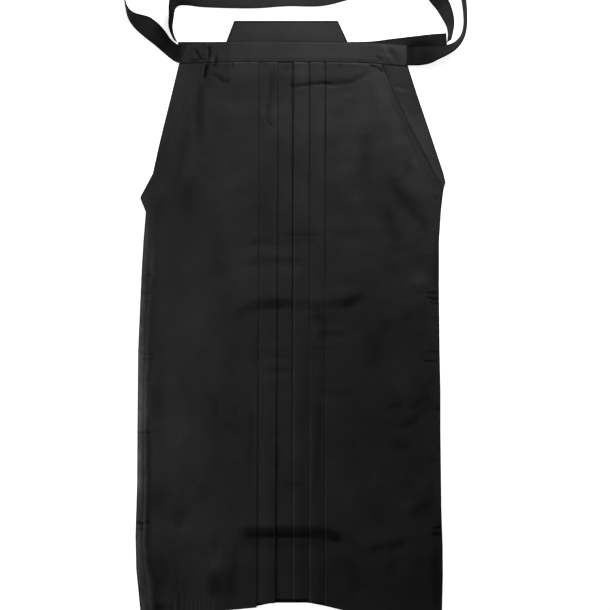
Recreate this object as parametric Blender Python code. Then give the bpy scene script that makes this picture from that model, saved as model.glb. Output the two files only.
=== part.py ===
"""Black pleated hakama trousers, laid flat on their back with the front upwards.

X runs to the right, Y from the hem to the waist and Z up from the floor. The origin lies on the floor,
on the garment's middle line, under the legs and a little below the front waistband's lower seam, which
the tables are measured from. Lengths are in metres.
"""

import math

import bmesh
import bpy
import numpy as np
from mathutils import Vector

MM = 0.001

# Cloth and the way its layers lie on each other
PANEL_WALL = 1.0 * MM
BELT_WALL = 1.6 * MM
WAISTBAND_WALL = 2.0 * MM
BOARD_WALL = 2.5 * MM
LAYER_GAP = 0.35 * MM
SEAM_GAP = 0.3 * MM
LAYER_STEP = PANEL_WALL + LAYER_GAP
BELT_WIDTH = 35 * MM

# The waistband's lower seam lies this far up the garment from the origin
SEAM_ABOVE_ORIGIN = 60 * MM

# Heights of the middle of the cloth above the floor
RESTING_Z = PANEL_WALL + LAYER_GAP + PANEL_WALL / 2
PLEAT_LOFT = 1.0 * MM
LEG_CROWN = 0.9 * MM
RIM_HEIGHT = 3.2 * MM

# Front waistband: the arch that it stands in over the open waist
WAIST_OPENING = 6.0 * MM
STACK_LAYERS = 2
WAISTBAND_CREST_Z = BOARD_WALL + WAIST_OPENING + PANEL_WALL + STACK_LAYERS * LAYER_STEP + LAYER_GAP
WAISTBAND_CORNER_Z = 4.2 * MM
WAISTBAND_END_Z = 2.0 * MM
WAIST_RAMP = 75 * MM

# Pleats: the fold edges, from the outside to the middle, as distances from the middle line
LEFT_FOLDS = (57.2 * MM, 24.3 * MM)
RIGHT_FOLDS = (60.7 * MM, 32.9 * MM, 3.5 * MM)
PLEAT_DEPTH = 15 * MM
INNER_SEAM_X = 12 * MM
UNDER_PLEAT_X = 8 * MM
FOLD_RADIUS = LAYER_STEP / 2
FOLD_REACH = FOLD_RADIUS + PANEL_WALL / 2
FOLD_STEPS = 4
STRIP_FOOT = 1.5 * MM
STRIP_POINTS = 3
MITRE_LIMIT = 0.5

# Each row is one section across the legs: its distance above the waist seam, in mm
FRONT_TOP = 14
STATIONS = (FRONT_TOP, 0, -14, -32, -54, -80, -115, -152, -191, -208, -222, -235, -260, -310, -360,
            -395, -412, -430, -500, -570, -640, -715, -776, -803, -821, -840, -880, -915)
BACK_TOP = -0.2

# Side edges: mm above the waist seam, then mm out from the middle line
LEFT_FRONT_SIDE = ((14, 144.8), (-7, 154.3), (-191, 237.5), (-235, 260.5), (-260, 250.0),
                   (-310, 255.0), (-360, 258.5), (-500, 264.0), (-640, 265.0), (-821, 267.7),
                   (-880, 265.5), (-915, 261.5), (-958, 258.5))
LEFT_BACK_SIDE = ((0, 192.5), (-7, 194.2), (-54, 206.0), (-115, 221.0), (-191, 237.5),
                  (-260, 249.6), (-310, 255.0), (-360, 258.5), (-500, 264.0), (-640, 265.0),
                  (-821, 267.7), (-880, 265.5), (-915, 261.5), (-958, 258.5))
RIGHT_FRONT_SIDE = ((14, 150.5), (-4, 157.2), (-54, 178.0), (-115, 206.7), (-191, 246.2),
                    (-208, 254.9), (-222, 261.0), (-260, 258.0), (-310, 254.3), (-395, 253.1),
                    (-500, 254.8), (-640, 256.6), (-776, 258.3), (-840, 260.0), (-958, 258.5))
RIGHT_BACK_SIDE = ((0, 199.5), (-7, 201.1), (-54, 214.5), (-115, 236.5), (-152, 248.0),
                   (-191, 261.2), (-208, 267.0), (-222, 263.5), (-260, 258.0), (-310, 254.3),
                   (-395, 253.1), (-500, 254.8), (-640, 256.6), (-776, 258.3), (-840, 260.0),
                   (-958, 258.5))

# Hems: mm out from the middle line, then mm above the waist seam
LEFT_FRONT_HEM = ((57, -943), (114, -949), (180, -954), (260, -957))
LEFT_STRIP_HEMS = (-936, -928)
RIGHT_FRONT_HEM = ((59, -940), (94, -949), (180, -954), (260, -957))
RIGHT_STRIP_HEMS = (-934, -928, -928)
BACK_HEM = ((0, -938), (30, -938), (70, -946), (114, -950), (260, -958))

# Points across one leg: mm in from the side edge, then shares of the width that is left
RIM_POINTS = (0, 3, 6, 10, 16, 24)
RIM_PEAK = 6.5 * MM
RIM_SPREAD = 5.5 * MM
RIM_STARTS = (-320 * MM, -400 * MM)
LEG_SHARES = (0.16, 0.34, 0.52, 0.70, 0.86, 1.0)
BACK_SHARES = (0.0, 0.3, 0.65, 1.0)
EDGE_RISE = 0.34

# Largest creases: middle x and y, half width and half height, and depth, all in mm
CREASES = (
    (-20, -412, 48, 9, 0.8),
    (95, -407, 36, 8, 1.3),
    (0, -821, 70, 11, 0.85),
    (-32, -312, 40, 6, 0.5),
    (45, -360, 60, 7, 0.4),
    (-161, -95, 7, 48, 0.9),
    (-190, -150, 9, 60, 0.7),
    (-38, -60, 6, 42, 0.6),
    (45, -38, 44, 8, 0.6),
)

# Front waistband, from its left end to its right end, in mm: the lower and the upper edge
WAISTBAND_ROWS = (
    (-194.5, -1.7, -180.9, 30.6),
    (-185.0, -1.4, -174.5, 31.6),
    (-168.0, -1.0, -163.0, 33.0),
    (-149.0, -0.6, -149.0, 34.4),
    (-127.0, -0.5, -127.0, 34.4),
    (-105.0, -0.4, -105.0, 34.4),
    (-50.0, -0.3, -50.0, 34.3),
    (0.0, -0.3, 0.0, 34.2),
    (60.0, -0.5, 60.0, 34.0),
    (112.0, -1.4, 112.0, 33.6),
    (136.0, -2.2, 136.0, 33.0),
    (161.0, -3.4, 161.0, 31.8),
    (180.0, -4.8, 180.0, 30.6),
    (201.0, -6.0, 201.0, 29.5),
)
WAISTBAND_ARCH = ((-194, WAISTBAND_END_Z), (-176, 2.3 * MM), (-154, WAISTBAND_CORNER_Z),
                  (-127, 9.6 * MM), (-105, WAISTBAND_CREST_Z), (112, WAISTBAND_CREST_Z),
                  (136, 9.6 * MM), (161, WAISTBAND_CORNER_Z), (183, 2.3 * MM), (201, WAISTBAND_END_Z))

# Back board: mm above the waist seam, then its left and its right side
BOARD_ROWS = ((0.2, -126.0, 113.0), (34.7, -112.7, 98.8), (72.0, -98.8, 81.5))
BOARD_EDGE = 0.5 * MM

# Belts: x, y of the edge that lies on the floor, lean in degrees from flat, and lift, in mm
BACK_BELT_LEFT_FLAT = (
    (-113.6, 35.4, 0, 0),
    (-150.0, 35.4, 0, 0),
    (-175.0, 35.4, 0, 0),
    (-196.2, 35.4, 0, 0),
)
BACK_BELT_LEFT_TOP = (
    (-197.8, 34.6, 86, 0),
    (-203.4, 47.0, 85, 0),
    (-206.4, 61.0, 83, 0),
    (-207.2, 78.0, 80, 0),
    (-204.6, 91.0, 72, 0),
    (-195.9, 97.6, 55, 0),
    (-178.6, 98.6, 30, 0),
    (-154.0, 95.5, 8, 0),
    (-105.0, 93.6, 0, 0),
    (-57.0, 93.6, 0, 0),
    (-7.0, 97.0, 0, 0),
    (52.0, 97.2, 0, 0),
    (97.0, 107.5, 0, 0),
    (137.0, 119.6, 0, 0),
    (197.0, 133.5, 0, 0),
)
BACK_BELT_RIGHT_FLAT = (
    (99.0, 35.4, 0, 0),
    (139.0, 36.4, 0, 0),
    (170.0, 40.2, 0, 0),
    (211.0, 45.1, 0, 0),
    (245.0, 49.0, 0, 0),
    (269.6, 50.6, 0, 0),
)
BACK_BELT_RIGHT_TOP = (
    (271.5, 34.7, 84, 0),
    (272.6, 48.5, 80, 0),
    (270.6, 60.7, 72, 0),
    (265.2, 71.5, 62, 0),
    (253.1, 91.0, 50, 0),
    (238.5, 109.0, 42, 0),
    (226.0, 132.0, 36, 0),
    (213.5, 160.0, 30, 0),
    (194.0, 187.0, 18, 0),
    (162.0, 206.0, 6, 0),
    (120.0, 214.0, 0, 0),
    (67.0, 215.0, 0, 0),
    (20.0, 213.0, 0, 0),
)
FRONT_BELT_LEFT = (
    (-194.9, -1.6, 4, 2.2),
    (-202.5, 1.6, 26, 1.8),
    (-211.5, 8.4, 44, 1.0),
    (-223.6, 19.0, 46, 0.2),
    (-235.8, 29.4, 34, 0),
    (-249.6, 39.9, 20, 0),
    (-263.0, 51.0, 22, 0),
    (-273.5, 62.0, 42, 0),
    (-281.5, 74.5, 64, 0),
    (-285.8, 89.0, 80, 0),
    (-287.8, 107.5, 86, 0),
    (-288.2, 140.0, 84, 0),
    (-287.0, 175.0, 79, 0),
    (-284.5, 212.0, 70, 0),
    (-282.5, 250.0, 60, 0),
    (-281.0, 290.0, 50, 0),
    (-277.0, 330.0, 44, 0),
    (-266.0, 366.0, 38, 0),
    (-244.0, 395.0, 30, 0),
    (-208.0, 412.0, 16, 0),
    (-160.0, 418.0, 4, 0),
    (-100.0, 419.0, 0, 0),
    (0.0, 417.0, 0, 0),
    (110.0, 417.0, 0, 0),
    (190.0, 418.0, 4, 0),
    (235.0, 420.0, 24, 0),
    (262.0, 427.0, 55, 0),
    (276.0, 441.0, 80, 0),
    (277.0, 458.0, 84, 0),
    (264.0, 472.0, 66, 0),
    (238.0, 480.0, 34, 0),
    (205.0, 483.0, 8, 0),
    (150.0, 483.0, 0, 0),
    (-80.0, 478.0, 0, 0),
)
FRONT_BELT_RIGHT = (
    (201.3, 29.5, 0, 2.0),
    (220.0, 29.5, 10, 2.0),
    (239.0, 29.5, 26, 2.0),
    (251.0, 29.3, 41, 2.0),
    (263.0, 29.3, 54, 2.0),
    (275.6, 31.2, 64, 1.8),
    (287.8, 38.1, 74, 0.9),
    (296.4, 50.3, 82, 0.2),
    (299.9, 69.3, 85, 0),
    (298.4, 94.0, 84, 0),
    (293.0, 125.0, 80, 0),
    (286.0, 160.0, 74, 0),
    (275.6, 197.6, 64, 0),
    (257.0, 232.0, 50, 0),
    (226.0, 256.0, 30, 0),
    (182.0, 266.0, 12, 0),
    (120.0, 268.5, 2, 0),
    (50.0, 267.0, 0, 0),
    (-54.0, 265.5, 0, 0),
    (-132.0, 267.0, 5, 0),
    (-175.0, 272.0, 30, 0),
    (-206.0, 286.0, 65, 0),
    (-222.0, 308.0, 84, 0),
    (-222.0, 333.0, 84, 0),
    (-206.0, 354.0, 65, 0),
    (-175.0, 366.0, 32, 0),
    (-132.0, 371.0, 6, 0),
    (-54.0, 371.0, 0, 0),
    (68.0, 368.0, 0, 0),
    (258.0, 372.0, 0, 0),
)
# Stretches of the long belts, each up to and with the row of this number
FRONT_BELT_LEFT_STRETCHES = (("front_belt_left", 11), ("front_belt_left_side", 20),
                             ("front_belt_left_row", 24), ("front_belt_left_return", 33))
FRONT_BELT_RIGHT_STRETCHES = (("front_belt_right", 10), ("front_belt_right_side", 16),
                              ("front_belt_right_row", 19), ("front_belt_right_return", 29))
BELT_RING_STEP = 12 * MM
BOARD_SLANT_LEFT = 13.4 * MM
BOARD_SLANT_RIGHT = 14.6 * MM
LEAN_RIGHT = 1
LEAN_LEFT = -1

# Cloth colours: the dyed black of the panels, and the denser cloth of band, board and belts
PANEL_BLACK = (0.022, 0.022, 0.023, 1.0)
LINING_BLACK = (0.018, 0.018, 0.019, 1.0)
BAND_BLACK = (0.026, 0.026, 0.027, 1.0)
CLOTH_ROUGHNESS = 0.85


def smooth_step(value):
    """An S-shaped ramp from 0 to 1."""
    share = min(max(value, 0.0), 1.0)
    return share * share * (3 - 2 * share)


def read_table(table, at, to_metres=MM):
    """The second column of a table in mm, read at a place in metres given by the first column."""
    rows = sorted(table)
    places = [row[0] * MM for row in rows]
    values = [row[1] * to_metres for row in rows]
    return float(np.interp(at, places, values))


def crease_depth(x, y):
    """How far the creases press the cloth down at a place."""
    depth = 0.0
    for middle_x, middle_y, half_width, half_height, deep in CREASES:
        across = (x / MM - middle_x) / half_width
        along = (y / MM - middle_y) / half_height
        depth += deep * MM * math.exp(-across * across - along * along)
    return depth


def waist_share(y):
    """0 on the legs and 1 under the waistband."""
    return smooth_step(1 + y / WAIST_RAMP)


def waistband_bottom(x):
    """The height of the waistband's underside."""
    return read_table(WAISTBAND_ARCH, x, 1.0)


def lowest_layer_z(x, y):
    """The middle of the lowest front layer where the pleats lie."""
    at_waist = WAISTBAND_CREST_Z - LAYER_GAP - PANEL_WALL / 2 - STACK_LAYERS * LAYER_STEP
    at_leg = RESTING_Z + PLEAT_LOFT
    pressed = min(crease_depth(x, y), PLEAT_LOFT)
    return at_leg + (at_waist - at_leg) * waist_share(y) - pressed * (1 - waist_share(y))


def rim_z(inwards, y):
    """The height that the rolled left edge adds, by the distance in from that edge."""
    grown = smooth_step((RIM_STARTS[0] - y) / (RIM_STARTS[0] - RIM_STARTS[1]))
    spread = (inwards - RIM_PEAK) / RIM_SPREAD
    at_edge = RIM_PEAK / RIM_SPREAD
    hump = math.exp(-spread * spread) - math.exp(-at_edge * at_edge)
    return RIM_HEIGHT * grown * max(hump, 0.0)


def leg_z(x, y, share, inwards, rolled):
    """The middle of the single cloth between the side edge and the outermost pleat."""
    pleat_z = lowest_layer_z(x, y) + STACK_LAYERS * LAYER_STEP + min(crease_depth(x, y), PLEAT_LOFT)
    height = RESTING_Z + (pleat_z - RESTING_Z) * smooth_step(share / EDGE_RISE)
    height += LEG_CROWN * math.sin(math.pi * share)
    edge_share = smooth_step(share / EDGE_RISE)
    height -= crease_depth(x, y) * edge_share
    if rolled:
        height += rim_z(inwards, y)
    at_waist = waistband_bottom(x) - LAYER_GAP - PANEL_WALL / 2
    return height + (at_waist - height) * waist_share(y)


class Line:
    """The middle line of a cloth section: points across, their height and the hem they run down to."""

    def __init__(self):
        self.points = []

    def add(self, out, z, hem):
        self.points.append((out, z, hem))

    def fold(self, out, turn, z_from, z_to, hem):
        """A half turn whose outermost point lies at out; turn is 1 where it opens outwards, else -1."""
        centre = out + turn * FOLD_REACH
        middle_z = (z_from + z_to) / 2
        radius = (z_from - z_to) / 2
        for step in range(FOLD_STEPS + 1):
            angle = math.pi * step / FOLD_STEPS
            self.add(centre - turn * radius * math.sin(angle), middle_z + radius * math.cos(angle), hem)


def front_line(side_table, folds, strip_hems, hem_table, y, sign, rolled):
    """One section of a front leg, from its side edge over its pleats to the inner seam."""
    line = Line()
    side = read_table(side_table, y)
    inner = folds[0] + PLEAT_DEPTH + STRIP_FOOT
    rim = [side - step * MM for step in RIM_POINTS]
    rest = [rim[-1] + (inner - rim[-1]) * share for share in LEG_SHARES]
    for out in rim + rest:
        share = (side - out) / (side - inner)
        hem = read_table(hem_table, out)
        line.add(out, leg_z(sign * out, y, share, side - out, rolled), hem)
    hems = (read_table(hem_table, folds[0]),) + tuple(value * MM for value in strip_hems)
    for number, edge in enumerate(folds):
        base = lowest_layer_z(sign * edge, y)
        top = base + STACK_LAYERS * LAYER_STEP
        middle = base + LAYER_STEP
        back = edge + PLEAT_DEPTH
        line.fold(edge, 1, top, middle, hems[number])
        line.fold(back, -1, middle, base, hems[number + 1])
        foot = edge - STRIP_FOOT
        base_foot = lowest_layer_z(sign * foot, y)
        if number + 1 < len(folds):
            line.add(foot, base_foot, hems[number + 1])
            crest = folds[number + 1] + PLEAT_DEPTH + STRIP_FOOT / 2
            for step in range(1, STRIP_POINTS + 1):
                share = step / STRIP_POINTS
                out = foot + (crest - foot) * share
                z = lowest_layer_z(sign * out, y)
                line.add(out, z + STACK_LAYERS * LAYER_STEP * smooth_step(share), hems[number + 1])
    return line


def left_front_line(y):
    """The left front leg: its last strip runs on under the right leg's middle pleat to the seam."""
    line = front_line(LEFT_FRONT_SIDE, LEFT_FOLDS, LEFT_STRIP_HEMS, LEFT_FRONT_HEM, y, -1, True)
    last_hem = LEFT_STRIP_HEMS[-1] * MM
    for out in (LEFT_FOLDS[-1] - STRIP_FOOT, UNDER_PLEAT_X, -INNER_SEAM_X + SEAM_GAP / 2):
        line.add(out, lowest_layer_z(-out, y), last_hem)
    return [(-out, z, hem) for out, z, hem in line.points]


def right_front_line(y):
    """The right front leg: its middle pleat lies over the left leg and turns back to the seam."""
    line = front_line(RIGHT_FRONT_SIDE, RIGHT_FOLDS, RIGHT_STRIP_HEMS, RIGHT_FRONT_HEM, y, 1, False)
    end = INNER_SEAM_X + SEAM_GAP / 2
    line.add(end, lowest_layer_z(end, y), RIGHT_STRIP_HEMS[-1] * MM)
    return line.points


def wall_ring(line, y, at_hem, wall):
    """A closed ring of points round a section's middle line, half the wall away on each side."""
    spots = [Vector((x, z)) for x, z, _ in line]
    above = []
    below = []
    for index, spot in enumerate(spots):
        before = spots[max(index - 1, 0)]
        after = spots[min(index + 1, len(spots) - 1)]
        along = (after - before).normalized()
        into = (spot - before).normalized() if index else along
        normal = Vector((-along.y, along.x))
        spread = max(abs(along.dot(into)), MITRE_LIMIT)
        offset = normal * (wall / 2 / spread)
        place_y = line[index][2] if at_hem else y
        above.append((spot.x + offset.x, place_y, spot.y + offset.y))
        below.append((spot.x - offset.x, place_y, spot.y - offset.y))
    return above + below[::-1]


def loft(name, rings, material):
    """A closed solid through rings of equal length, with each end closed by a strip of faces."""
    mesh = bmesh.new()
    loops = [[mesh.verts.new(point) for point in ring] for ring in rings]
    count = len(rings[0])
    for ring, following in zip(loops, loops[1:]):
        for index in range(count):
            ahead = (index + 1) % count
            mesh.faces.new((ring[index], ring[ahead], following[ahead], following[index]))
    for ring in (loops[0], loops[-1]):
        for index in range(count // 2 - 1):
            mesh.faces.new((ring[index], ring[index + 1], ring[count - 2 - index], ring[count - 1 - index]))
    return finish(name, mesh, material)


def finish(name, mesh, material):
    """Measures the mesh from the origin, turns its faces outwards and makes a named object of it."""
    bmesh.ops.translate(mesh, verts=mesh.verts, vec=(0, SEAM_ABOVE_ORIGIN, 0))
    bmesh.ops.recalc_face_normals(mesh, faces=mesh.faces)
    for face in mesh.faces:
        face.smooth = True
    data = bpy.data.meshes.new(name)
    mesh.to_mesh(data)
    mesh.free()
    data.materials.append(material)
    made = bpy.data.objects.new(name, data)
    bpy.context.scene.collection.objects.link(made)
    return made


def cloth(name, colour):
    """One plain cloth."""
    material = bpy.data.materials.new(name)
    material.use_nodes = True
    shader = material.node_tree.nodes["Principled BSDF"]
    shader.inputs["Base Color"].default_value = colour
    shader.inputs["Roughness"].default_value = CLOTH_ROUGHNESS
    return material


def build_front_leg(name, line_at):
    """A front leg panel with its pleats, from under the waistband to the hem."""
    rings = [wall_ring(line_at(y * MM), y * MM, False, PANEL_WALL) for y in STATIONS]
    rings.append(wall_ring(line_at(STATIONS[-1] * MM), 0, True, PANEL_WALL))
    return loft(name, rings, cloth(name + "_cloth", PANEL_BLACK))


def build_back_leg(name, side_table, sign):
    """A back leg panel, flat on the floor from the board to the hem."""
    seam = sign * INNER_SEAM_X + SEAM_GAP / 2
    rows = [y for y in STATIONS if y < 0]
    rings = []
    for y in [BACK_TOP] + rows + [None]:
        side = read_table(side_table, (rows[-1] if y is None else y) * MM)
        line = []
        for share in BACK_SHARES:
            out = side + (seam - side) * share
            hem = read_table(BACK_HEM, abs(out))
            line.append((sign * out, PANEL_WALL / 2, hem))
        rings.append(wall_ring(line, (y or 0) * MM, y is None, PANEL_WALL))
    return loft(name, rings, cloth(name + "_cloth", LINING_BLACK))


def strip_ring(low, high, up, wall):
    """The four corners of a flat strip between two edge points, half the wall to each side."""
    half = up * (wall / 2)
    return [tuple(low + half), tuple(high + half), tuple(high - half), tuple(low - half)]


def build_waistband():
    """The front waistband, arched over the pleats."""
    rings = []
    for low_x, low_y, high_x, high_y in WAISTBAND_ROWS:
        z = waistband_bottom((low_x + high_x) / 2 * MM) + WAISTBAND_WALL / 2
        low = Vector((low_x * MM, low_y * MM, z))
        high = Vector((high_x * MM, high_y * MM, z))
        rings.append(strip_ring(low, high, Vector((0, 0, 1)), WAISTBAND_WALL))
    return loft("front_waistband", rings, cloth("front_waistband_cloth", BAND_BLACK))


def build_board():
    """The stiff back board in its cloth, a flat trapezium with softened upper edges."""
    mesh = bmesh.new()
    outline = [(left, y) for y, left, _ in BOARD_ROWS] + [(right, y) for y, _, right in BOARD_ROWS[::-1]]
    corners = [mesh.verts.new((x * MM, y * MM, 0)) for x, y in outline]
    face = mesh.faces.new(corners)
    raised = bmesh.ops.extrude_face_region(mesh, geom=[face])
    top = [part for part in raised["geom"] if isinstance(part, bmesh.types.BMVert)]
    bmesh.ops.translate(mesh, verts=top, vec=(0, 0, BOARD_WALL))
    rim = [edge for edge in mesh.edges if all(vert in top for vert in edge.verts)]
    bmesh.ops.bevel(mesh, geom=rim, offset=BOARD_EDGE, segments=2, profile=0.5, affect="EDGES", material=-1)
    return finish("back_board", mesh, cloth("back_board_cloth", BAND_BLACK))


def spline(rows):
    """Points of a smooth curve through the rows, about one ring step apart, and each row's place in it."""
    table = np.array(rows, float)
    padded = np.vstack([2 * table[0] - table[1], table, 2 * table[-1] - table[-2]])
    points = []
    places = [0]
    for index in range(1, len(table)):
        before, start, end, after = padded[index - 1:index + 3]
        length = np.linalg.norm((end - start)[:2]) * MM
        steps = max(1, round(length / BELT_RING_STEP))
        for step in range(steps):
            t = step / steps
            points.append(0.5 * (2 * start + (end - before) * t
                                 + (2 * before - 5 * start + 4 * end - after) * t * t
                                 + (3 * start - before - 3 * end + after) * t ** 3))
        places.append(len(points))
    points.append(table[-1])
    return points, places


def belt_edges(points, lean_side):
    """For each point of a belt its lower edge, its upper edge, the cloth's normal and the way along."""
    edges = []
    up = Vector((0, 0, 1))
    for index, point in enumerate(points):
        before = points[max(index - 1, 0)]
        after = points[min(index + 1, len(points) - 1)]
        along = Vector((after[0] - before[0], after[1] - before[1], 0)).normalized()
        aside = Vector((along.y, -along.x, 0)) * lean_side
        lean = math.radians(min(max(point[2], 0), 90))
        across = aside * math.cos(lean) + up * math.sin(lean)
        normal = up * math.cos(lean) - aside * math.sin(lean)
        z = max(point[3], 0) * MM + BELT_WALL / 2 * math.cos(lean)
        low = Vector((point[0] * MM, point[1] * MM, z))
        edges.append((low, low + across * BELT_WIDTH, normal, along))
    return edges


def build_belt(rows, lean_side, stretches, slant=0.0):
    """A belt whose one edge lies along the rows while the other leans up to one side, as its stretches.

    The slant cuts the belt's first end askew, to lie along the board's side.
    """
    points, places = spline(rows)
    edges = belt_edges(points, lean_side)
    first = 0
    for name, last_row in stretches:
        last = places[last_row]
        rings = []
        for index in range(first, last + 1):
            low, high, normal, along = edges[index]
            low_shift = SEAM_GAP if first and index == first else 0.0
            high_shift = low_shift + (slant if index == 0 else 0.0)
            rings.append(strip_ring(low + along * low_shift, high + along * high_shift, normal, BELT_WALL))
        loft(name, rings, cloth(name + "_cloth", BAND_BLACK))
        first = last


def clear_scene():
    """Takes out what the start-up scene holds."""
    for old in list(bpy.data.objects):
        bpy.data.objects.remove(old, do_unlink=True)


def main():
    """Builds each sewn piece as its own named solid."""
    clear_scene()
    build_back_leg("back_leg_left", LEFT_BACK_SIDE, -1)
    build_back_leg("back_leg_right", RIGHT_BACK_SIDE, 1)
    build_front_leg("front_leg_left", left_front_line)
    build_front_leg("front_leg_right", right_front_line)
    build_board()
    build_waistband()
    build_belt(BACK_BELT_LEFT_FLAT, LEAN_LEFT, (("back_belt_left", 3),), BOARD_SLANT_LEFT)
    build_belt(BACK_BELT_LEFT_TOP, LEAN_LEFT, (("back_belt_left_top", 14),))
    build_belt(BACK_BELT_RIGHT_FLAT, LEAN_RIGHT, (("back_belt_right", 5),), BOARD_SLANT_RIGHT)
    build_belt(BACK_BELT_RIGHT_TOP, LEAN_RIGHT, (("back_belt_right_top", 12),))
    build_belt(FRONT_BELT_LEFT, LEAN_RIGHT, FRONT_BELT_LEFT_STRETCHES)
    build_belt(FRONT_BELT_RIGHT, LEAN_RIGHT, FRONT_BELT_RIGHT_STRETCHES)


main()
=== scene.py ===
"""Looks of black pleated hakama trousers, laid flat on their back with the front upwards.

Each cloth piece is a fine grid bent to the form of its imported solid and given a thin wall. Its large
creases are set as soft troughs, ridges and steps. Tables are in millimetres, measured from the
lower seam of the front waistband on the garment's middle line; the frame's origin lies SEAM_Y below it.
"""

import logging
import math
from dataclasses import dataclass
from enum import Enum

import bmesh
import bpy
import numpy as np
from mathutils import Matrix, Vector


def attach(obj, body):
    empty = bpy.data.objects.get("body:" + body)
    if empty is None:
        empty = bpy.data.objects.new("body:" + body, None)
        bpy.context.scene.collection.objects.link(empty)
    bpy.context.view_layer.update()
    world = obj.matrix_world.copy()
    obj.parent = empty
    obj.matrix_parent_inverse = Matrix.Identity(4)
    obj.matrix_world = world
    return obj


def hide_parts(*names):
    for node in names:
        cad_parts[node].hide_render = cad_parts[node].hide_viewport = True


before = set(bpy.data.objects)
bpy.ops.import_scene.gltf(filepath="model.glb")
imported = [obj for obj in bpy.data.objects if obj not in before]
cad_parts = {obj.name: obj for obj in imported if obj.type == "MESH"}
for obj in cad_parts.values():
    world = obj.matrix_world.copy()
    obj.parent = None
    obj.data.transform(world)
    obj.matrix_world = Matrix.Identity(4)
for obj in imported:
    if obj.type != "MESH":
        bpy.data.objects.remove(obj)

logging.basicConfig(level=logging.INFO, format="%(message)s")
LOG = logging.getLogger("hakama")

MM = 0.001
SEAM_Y = 60.0
SHADE = "shade"
CLOTH_UV = "cloth"

Row = tuple[float, ...]
Table = tuple[Row, ...]


class Kind(Enum):
    """How a crease bends the cloth: down, down with a flat bed, up, or from one level to another."""

    TROUGH = "trough"
    PRESS = "press"
    RIDGE = "ridge"
    STEP = "step"


class Slot(Enum):
    """The material slots of the part's record."""

    LEG = "leg_cloth"
    BOARD = "board_cloth"
    BELT = "belt_cloth"


# How strongly all creases bend the cloth and paint shade into it, and the lightest painted shade there is
CREASE_GAIN = 1.1
SHADE_GAIN = 1.5
LIGHTEST = -2.0
# Over which share of its length a crease fades out, and how much of it stays at its tips
CREASE_TIP = 0.25
PRESS_TIP = 0.1
TIP_SHARE = 0.25
# Half width of the painted shade line along a turned edge, and the gap under the lowest cloth
EDGE_LINE = 1.3
FLOOR_GAP = 0.05
# Angles between faces, in degrees, above which an edge is rounded off or shown sharp
ROUNDED_ANGLE = 50
SHARP_ANGLE = 60
# Where the rows of a leg start and where they begin to follow the hem, and how far the hem lies beyond
FRONT_TOP = 14.0
LEG_FOOT = -915.0
FOOT_REACH = 43.0
HALF_HEM = 260.0
INNER_SEAM = 12.0
# Stretches where the front's rows are closer: middle y, half length
CLOSE_ROWS = ((-24, 34), (-413, 16), (-820, 24))
# Columns of the front beside its side edge, as distances in, and of the strip between two pleats
RIM_STEPS = (0.0, 0.8, 1.8, 3.0, 4.4, 6.0, 7.8, 9.4, 10.8, 11.8, 12.8, 14.0, 15.6, 17.4, 19.2, 21.0, 23.0)
STRIP_SHARES = (0.0, 0.04, 0.09, 0.15, 0.22, 0.32, 0.45, 0.6, 0.8, 1.0)
# Columns of the back from its side edge to the front's
BACK_SHARES = (0.0, 0.04, 0.1, 0.2, 0.4, 0.55, 0.67, 0.76, 0.83, 0.89, 0.93, 0.96, 0.985, 1.0)
# How far above the band's lower edge its stitches run
STITCH_LINE = 3.6
WHITE = (1.0, 1.0, 1.0, 1.0)


@dataclass(frozen=True)
class ClothSizes:
    """Walls and heights of the cloth and of the way its layers lie on each other, in mm."""

    panel_wall: float = 0.55
    back_wall: float = 0.8
    belt_wall: float = 1.5
    band_wall: float = 1.7
    board_wall: float = 2.3
    belt_width: float = 35.0
    layer_step: float = 0.66
    edge_z: float = 1.45
    top_z: float = 5.5
    crown: float = 1.0
    edge_rise: float = 0.34
    waist_ramp: float = 75.0
    crest_z: float = 12.55
    under_band: float = 0.35
    puff: float = 0.85
    rolled_rise: float = 3.8
    slit_rise: float = 0.55


@dataclass(frozen=True)
class PleatSizes:
    """How a pleat is folded, in mm."""

    depth: float = 10.0
    foot: float = 0.7
    lip: float = 1.2
    turn_points: int = 5
    shade_reach: float = 1.9


SIZES = ClothSizes()
PLEATS = PleatSizes()

# The front waistband's underside: across, height
ARCH = ((-194, 2.0), (-176, 2.3), (-154, 4.2), (-127, 9.6), (-105, SIZES.crest_z), (112, SIZES.crest_z),
        (136, 9.6), (161, 4.2), (183, 2.3), (201, 2.0))
# The front waistband: lower edge x, y, upper edge x, y
BAND_ROWS = ((-194.5, -1.7, -180.9, 30.6), (-185.0, -1.4, -174.5, 31.6), (-168.0, -1.0, -163.0, 33.0),
             (-149.0, -0.6, -149.0, 34.4), (-127.0, -0.5, -127.0, 34.4), (-105.0, -0.4, -105.0, 34.4),
             (0.0, -0.3, 0.0, 34.2), (60.0, -0.5, 60.0, 34.0), (112.0, -1.4, 112.0, 33.6),
             (136.0, -2.2, 136.0, 33.0), (161.0, -3.4, 161.0, 31.8), (180.0, -4.8, 180.0, 30.6),
             (201.0, -6.0, 201.0, 29.5))
# The back board: y, left side, right side
BOARD_ROWS = ((0.4, -126.0, 113.0), (34.7, -112.7, 98.8), (72.0, -98.8, 81.5))

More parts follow.
